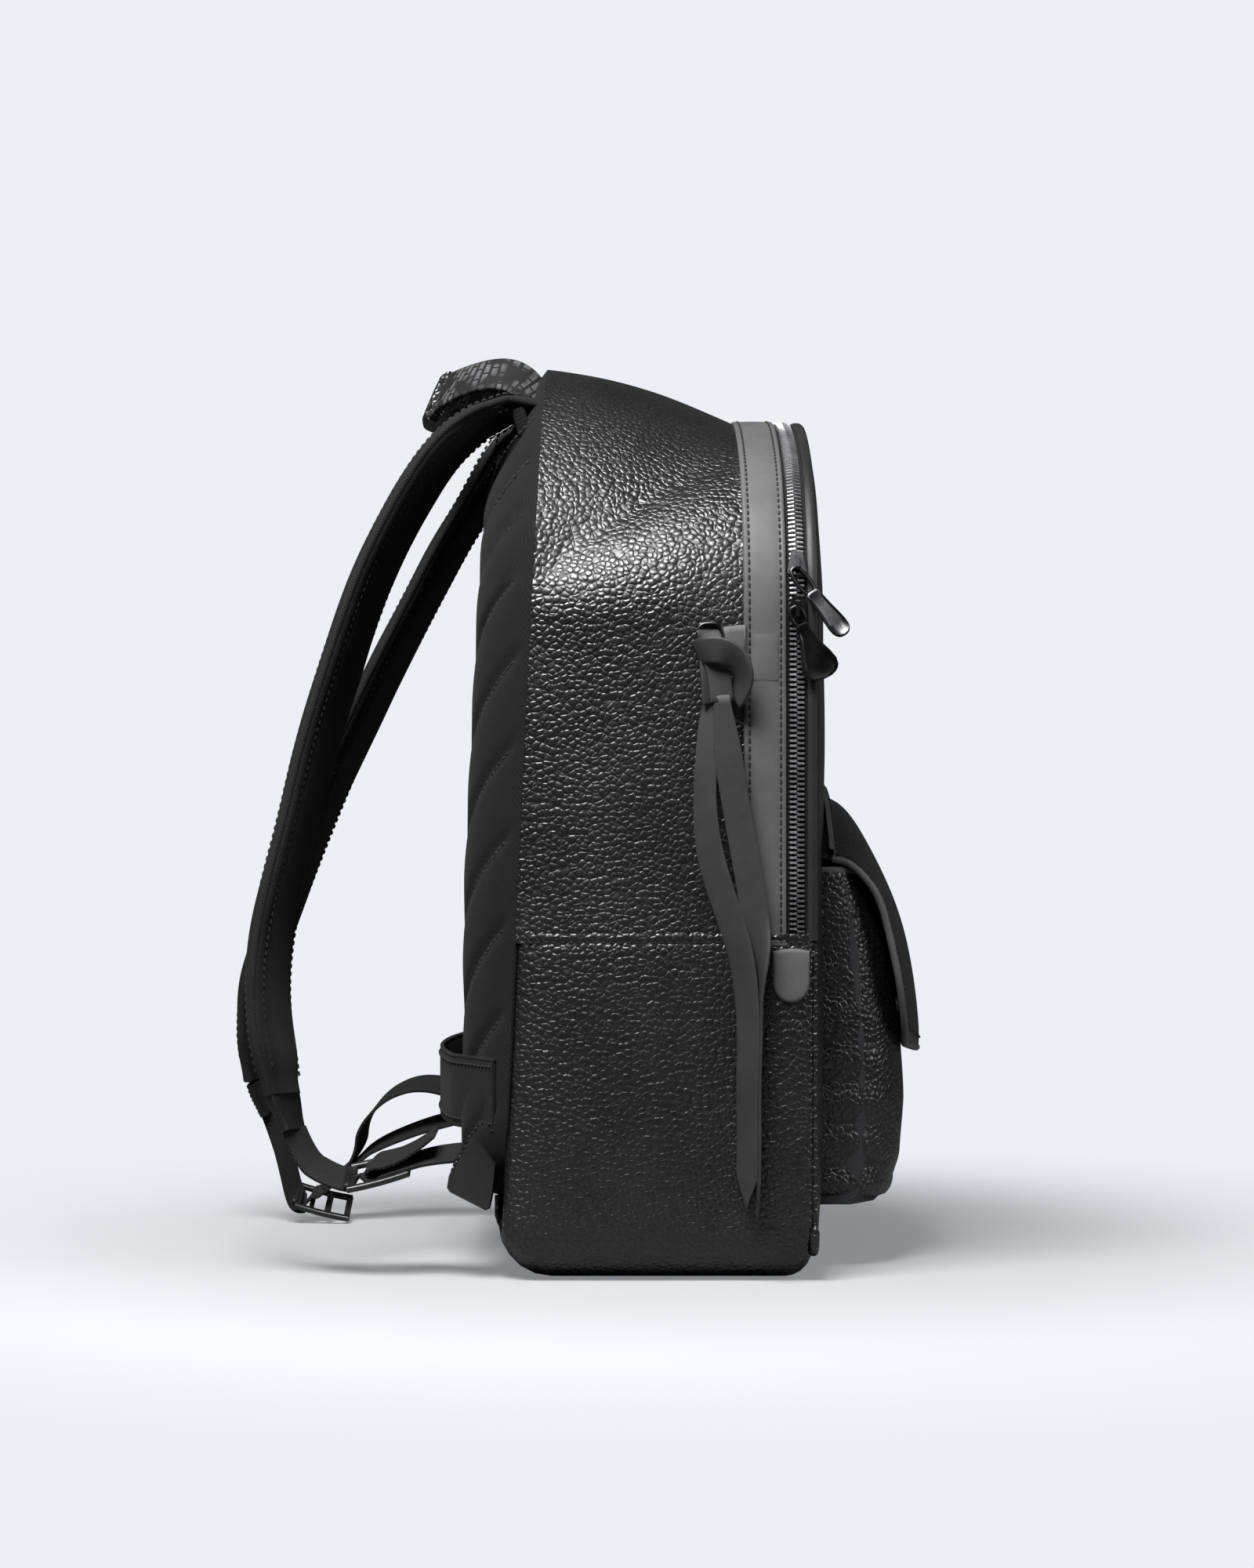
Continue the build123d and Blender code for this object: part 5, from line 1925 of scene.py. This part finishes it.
@dataclass
class TopHandle:
    """Patterned webbing loop with a leather wrap at its middle."""

    half: float = 46.0
    apex: float = 104.0
    band: float = 25.0
    thickness: float = 3.6

    def line(self) -> list[Vector]:
        """Centre line of the loop from the left root to the right root."""
        left = [
            (-46.0, 54.0, 400.0), (-46.0, 59.0, 407.5), (-46.0, 67.0, 412.5), (-45.0, 77.0, 413.0),
            (-40.0, 87.0, 411.0), (-30.0, 96.0, 408.0), (-15.0, 101.8, 405.8),
        ]
        right = [(-x, y, z) for x, y, z in reversed(left)]
        return flowing([*left, (0.0, 103.2, 405.0), *right], 8)

    def build(self) -> None:
        """Build the loop and its wrap."""
        path = self.line()
        hints = []
        for point in path:
            inward = -point.x / self.half
            hints.append(Vector((0.95 * inward, -0.35, 0.85)).normalized())
        loop = Blank()
        loop.sweep(path, hints, lambda share: oval(self.band, self.thickness, 0.4, 20))
        webbing = loop.build("handle_loop_webbing", crease=60)
        settle(webbing, HANDLE_CLOTH, None, "handle_webbing")
        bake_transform(webbing)
        wrapped = [(p, h) for p, h in zip(path, hints) if abs(p.x) < 19.0]
        wrap = Blank()
        wrap.sweep(
            [p for p, _ in wrapped],
            [h for _, h in wrapped],
            lambda share: oval(self.band + 1.6, self.thickness + 4.6, 0.5, 24),
        )
        settle(wrap.build("handle_wrap_leather"), PEBBLED, Body.HANDLE, "handle_wrap")
        thread = Blank()
        ways = tangents([p for p, _ in wrapped])
        for sign in (-1.0, 1.0):
            row, outs = [], []
            for (point, hint), along in zip(wrapped, ways):
                wide = (hint - along * hint.dot(along)).normalized()
                out = wide.cross(along)
                out = out if out.y > 0 else -out
                row.append(point + wide * (sign * (0.5 * self.band - 2.0)) + out * 3.3)
                outs.append(out)
            thread.stitches(row, outs, 2.9, 2.1)
        settle(thread.build("handle_wrap_stitching"), THREAD, Body.HANDLE)


# ---------------------------------------------------------------- side laces


@dataclass
class SideLace:
    """Leather tab, ring, knot and two flat hanging lace tails."""

    side: Side
    width: float = 12.5
    thickness: float = 1.5
    lengths: tuple[float, float] = (0.2318, 0.2272)
    first: tuple[Point, ...] = (
        (146.5, -27.5, 257.5), (146.4, -29.5, 236), (146.6, -33.5, 212), (146.8, -38.2, 186),
        (147, -42.5, 161), (147.2, -44.6, 138), (147.6, -44.3, 112), (147.8, -43.5, 84),
        (148, -43.7, 55), (147.9, -43, 27),
    )
    second: tuple[Point, ...] = (
        (143, -24, 257.4), (142.9, -21, 240), (142.9, -19.2, 219), (143, -20.4, 198),
        (143.4, -25.5, 177), (144, -32, 158.5), (145, -37.6, 139), (146, -39.6, 114),
        (146.6, -39.1, 86), (147, -39.4, 58), (146.9, -38.6, 33),
    )

    @property
    def body(self) -> Body:
        """The lace set's body."""
        return Body(f"lace_{self.side.label}")

    def route(self, points: Sequence[Point]) -> list[Point]:
        """Route on this set's side of the bag."""
        return [(self.side.value * x, y, z) for x, y, z in points]

    def tail(self, name: str, points: Sequence[Point], length: float, twist: Callable[[float], float]) -> None:
        """One flat tail.

        Args:
            name: letter of the tail.
            points: its route.
            length: its real length in metres; not used.
            twist: turn of its width out of the side's plane, in degrees, at a share of its length.
        """
        path = flowing(self.route(points), 10)
        steps = len(path) - 1
        hints = []
        for i in range(steps + 1):
            turn = math.radians(twist(i / steps))
            hints.append(Vector((-self.side.value * math.sin(turn), math.cos(turn), 0.0)))

        def section(share: float) -> Section:
            """Flat section that narrows at the knot and to a slanted tip."""
            wide = self.width * (0.62 + 0.38 * smooth(share / 0.12))
            wide *= 1.0 - 0.86 * smooth((share - 0.93) / 0.07)
            return oval(max(wide, 1.4), self.thickness, 0.35, 16)

        blank = Blank()
        blank.sweep(path, hints, section)
        piece = blank.build(f"lace_tail_{name}_leather_{self.side.label}", crease=60)
        settle(piece, LACE, self.body, f"lace_tail_{name}_{self.side.label}")

    def knot(self) -> None:
        """Folded knot where both tails pass over the ring."""
        sign = self.side.value
        blank = Blank()

        def strip(points: Sequence[Point], hints: Sequence[Point], wide: float) -> None:
            """Add one pass of the lace, with the direction of its width at each point."""
            path = flowing(self.route(points), 8)
            turns = flowing([(sign * 1000.0 * x, 1000.0 * y, 1000.0 * z) for x, y, z in hints], 8)
            blank.sweep(path, [turn.normalized() for turn in turns], lambda share: oval(wide, 1.7, 0.4, 16))

        strip(
            [
                (143.0, -17.0, 276.5), (148.6, -19.5, 277.5), (150.4, -27.0, 277.5), (150.4, -34.0, 274.0),
                (149.8, -37.2, 267.0), (147.6, -36.4, 260.5), (144.5, -33.5, 256.5),
            ],
            [
                (0.1, 0.3, 1.0), (0.1, 0.3, 1.0), (0.1, 0.1, 1.0), (0.5, -0.7, 0.7),
                (0.8, -0.8, 0.1), (0.8, -0.6, -0.2), (0.7, -0.5, -0.5),
            ],
            11.6,
        )
        strip(
            [(142.4, -20.5, 286.0), (144.8, -22.5, 285.0), (145.4, -24.5, 274.0), (145.6, -27.0, 264.0), (146.2, -27.8, 255.0)],
            [(0.0, 1.0, 0.2)] * 5,
            10.4,
        )
        strip(
            [(142.6, -22.0, 274.0), (143.6, -22.5, 268.0), (143.8, -23.0, 262.0), (143.4, -23.5, 254.0)],
            [(0.3, 1.0, 0.1)] * 4,
            9.0,
        )
        piece = blank.build(f"lace_knot_leather_{self.side.label}", crease=60)
        settle(piece, LACE, self.body, f"lace_knot_{self.side.label}")

    def tab_and_ring(self) -> None:
        """Leather tab stitched by the strip, and its ring."""
        sign = self.side.value
        outline = [(-38.4, 273.4), (-38.4, 288.8), (-36.0, 288.9), (-29.0, 288.2), (-27.2, 286.0), (-27.2, 276.6), (-29.0, 274.0), (-36.0, 273.2)]
        rows = []
        for scale, proud in ((1.0, 0.3), (1.0, 1.6), (0.93, 2.3), (0.6, 2.5), (0.02, 2.6)):
            rows.append(
                [Vector((sign * (140.4 + proud), -35.5 + (y + 35.5) * scale, 281 + (z - 281) * scale)) for y, z in outline]
            )
        blank = Blank()
        blank.grid(rows, ring=True)
        piece = blank.build(f"lace_tab_leather_{self.side.label}", (0, -35, 281), crease=60)
        settle(piece, SMOOTH, self.body, f"lace_tab_{self.side.label}")
        path = []
        for i in range(41):
            turn = 2.0 * math.pi * i / 40.0
            c, s = math.cos(turn), math.sin(turn)
            path.append(
                Vector(
                    (
                        sign * 142.6,
                        -22.6 + 5.6 * math.copysign(abs(c) ** 0.6, c),
                        281.0 + 8.4 * math.copysign(abs(s) ** 0.6, s),
                    )
                )
            )
        rows = []
        for i in range(40):
            along = (path[i + 1] - path[i - 1 if i else 39]).normalized()
            out = Vector((1, 0, 0))
            width = along.cross(out)
            rows.append([path[i] + width * u + out * v for u, v in oval(1.9, 1.9, 1.0, 8)])
        ring = Blank()
        ring.grid([*rows, rows[0]], ring=True)
        piece = ring.build(f"side_ring_{self.side.label}")
        settle(piece, DARK_METAL, self.body, f"d_ring_{self.side.label}")

    def build(self) -> None:
        """Build the whole lace set."""
        self.tab_and_ring()
        self.knot()
        self.tail("a", self.first, self.lengths[0], lambda s: 8.0 + 78.0 * smooth((s - 0.42) / 0.22))
        self.tail("b", self.second, self.lengths[1], lambda s: 20.0 + 20.0 * smooth((s - 0.45) / 0.3))


# ---------------------------------------------------------------- carried-over nodes and the studio


CARRIED: dict[str, Finish] = {
    "base_board": BOARD,
    "back_board": BOARD,
    "lining": LINING,
    "laptop_sleeve": LINING,
    "pocket_lining": LINING,
    "snap_socket": SNAP_METAL,
    "snap_stud": SNAP_METAL,
    "zip_slider_upper": DARK_METAL,
    "zip_slider_lower": DARK_METAL,
}


def dress_carried(nodes: dict[str, bpy.types.Object]) -> None:
    """Give every CAD node that stays in view its finish.

    Args:
        nodes: the frame's nodes by name.
    """
    for name, finish in CARRIED.items():
        finish.dress(nodes[name])
        log.info("%s stays, %s", name, finish.name)


@dataclass
class Studio:
    """Floor, lights, world and camera."""

    camera_at: Point = (-1590.0, 34.5, 188.0)
    lens: float = 75.69
    shift: tuple[float, float] = (0.03, 0.045)
    pale: Colour = (0.845, 0.862, 0.896)
    ambient: float = 0.08

    def floor(self) -> None:
        """Wide flat floor."""
        steps = 24
        blank = Blank()
        rows = []
        for i in range(1, 9):
            reach = 2800.0 * i / 8.0
            rows.append(
                [
                    Vector((reach * math.cos(2 * math.pi * k / steps), reach * math.sin(2 * math.pi * k / steps), -0.4))
                    for k in range(steps)
                ]
            )
        blank.grid(rows, ring=True)
        blank.faces.append(tuple(range(steps)))
        floor = blank.build("studio_floor", (0, 0, -500))
        FLOOR.dress(floor)

    def light(self, name: str, at: Point, aim: Point, size: tuple[float, float], watts: float) -> None:
        """Soft rectangular light.

        Args:
            name: its name.
            at: its place.
            aim: the point that it faces.
            size: width and height.
            watts: its power.
        """
        lamp = bpy.data.lights.new(name, "AREA")
        lamp.shape = "RECTANGLE"
        lamp.size, lamp.size_y = size[0] * MM, size[1] * MM
        lamp.energy = watts
        obj = bpy.data.objects.new(name, lamp)
        obj.location = Vector(at) * MM
        obj.rotation_euler = (Vector(aim) - Vector(at)).to_track_quat("-Z", "Y").to_euler()
        bpy.context.scene.collection.objects.link(obj)

    def world(self) -> None:
        """Pale even backdrop that lights the bag less than it shows."""
        world = bpy.data.worlds.new("studio")
        bpy.context.scene.world = world
        world.use_nodes = True
        tree = world.node_tree
        back = tree.nodes["Background"]
        back.inputs["Color"].default_value = (*self.pale, 1.0)
        rays = tree.nodes.new("ShaderNodeLightPath")
        level = tree.nodes.new("ShaderNodeMapRange")
        level.inputs["To Min"].default_value = self.ambient
        level.inputs["To Max"].default_value = 1.0
        tree.links.new(rays.outputs["Is Camera Ray"], level.inputs["Value"])
        tree.links.new(level.outputs[0], back.inputs["Strength"])

    def camera(self) -> None:
        """Level camera at the side of the bag."""
        data = bpy.data.cameras.new("side_camera")
        data.lens = self.lens
        data.sensor_width = 36.0
        data.sensor_fit = "AUTO"
        data.shift_x, data.shift_y = self.shift
        data.clip_start, data.clip_end = 0.05, 50.0
        obj = bpy.data.objects.new("side_camera", data)
        obj.location = Vector(self.camera_at) * MM
        obj.rotation_euler = (math.radians(90), 0.0, math.radians(-90))
        bpy.context.scene.collection.objects.link(obj)
        bpy.context.scene.camera = obj

    def build(self) -> None:
        """Set the whole studio up."""
        self.floor()
        self.world()
        self.camera()
        self.light("shoulder_softbox", (-740, 330, 1300), (-60, 20, 250), (760, 500), 63.0)
        self.light("key_softbox", (-700, -1600, 950), (0, 0, 150), (600, 700), 14.0)
        self.light("fill_softbox", (-2300, 1000, 800), (0, 0, 200), (900, 900), 1.2)
        bpy.context.scene.view_settings.view_transform = "Standard"


def main() -> None:
    """Build the backpack round the frame."""
    for obj in list(bpy.data.objects):
        bpy.data.objects.remove(obj)
    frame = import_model()
    Studio().build()
    for side in Side:
        SideLace(side).build()
    Shell().build()
    BackPanel().build()
    Pocket().build()
    ZipPull("zip_pull_upper", Body.PULL_UPPER, 316.0, 3.5, 7.6, 24.0, 3.2, 4.5, 36.0).build()
    ZipPull("zip_pull_lower", Body.PULL_LOWER, 296.0, 0.0, 4.8, 25.5, 2.8, 8.2, 24.0).build()
    for strap in STRAPS:
        strap.build()
    TopHandle().build()
    dress_carried(frame["nodes"])


if __name__ == "__main__":
    logging.basicConfig(level=logging.INFO)
    main()
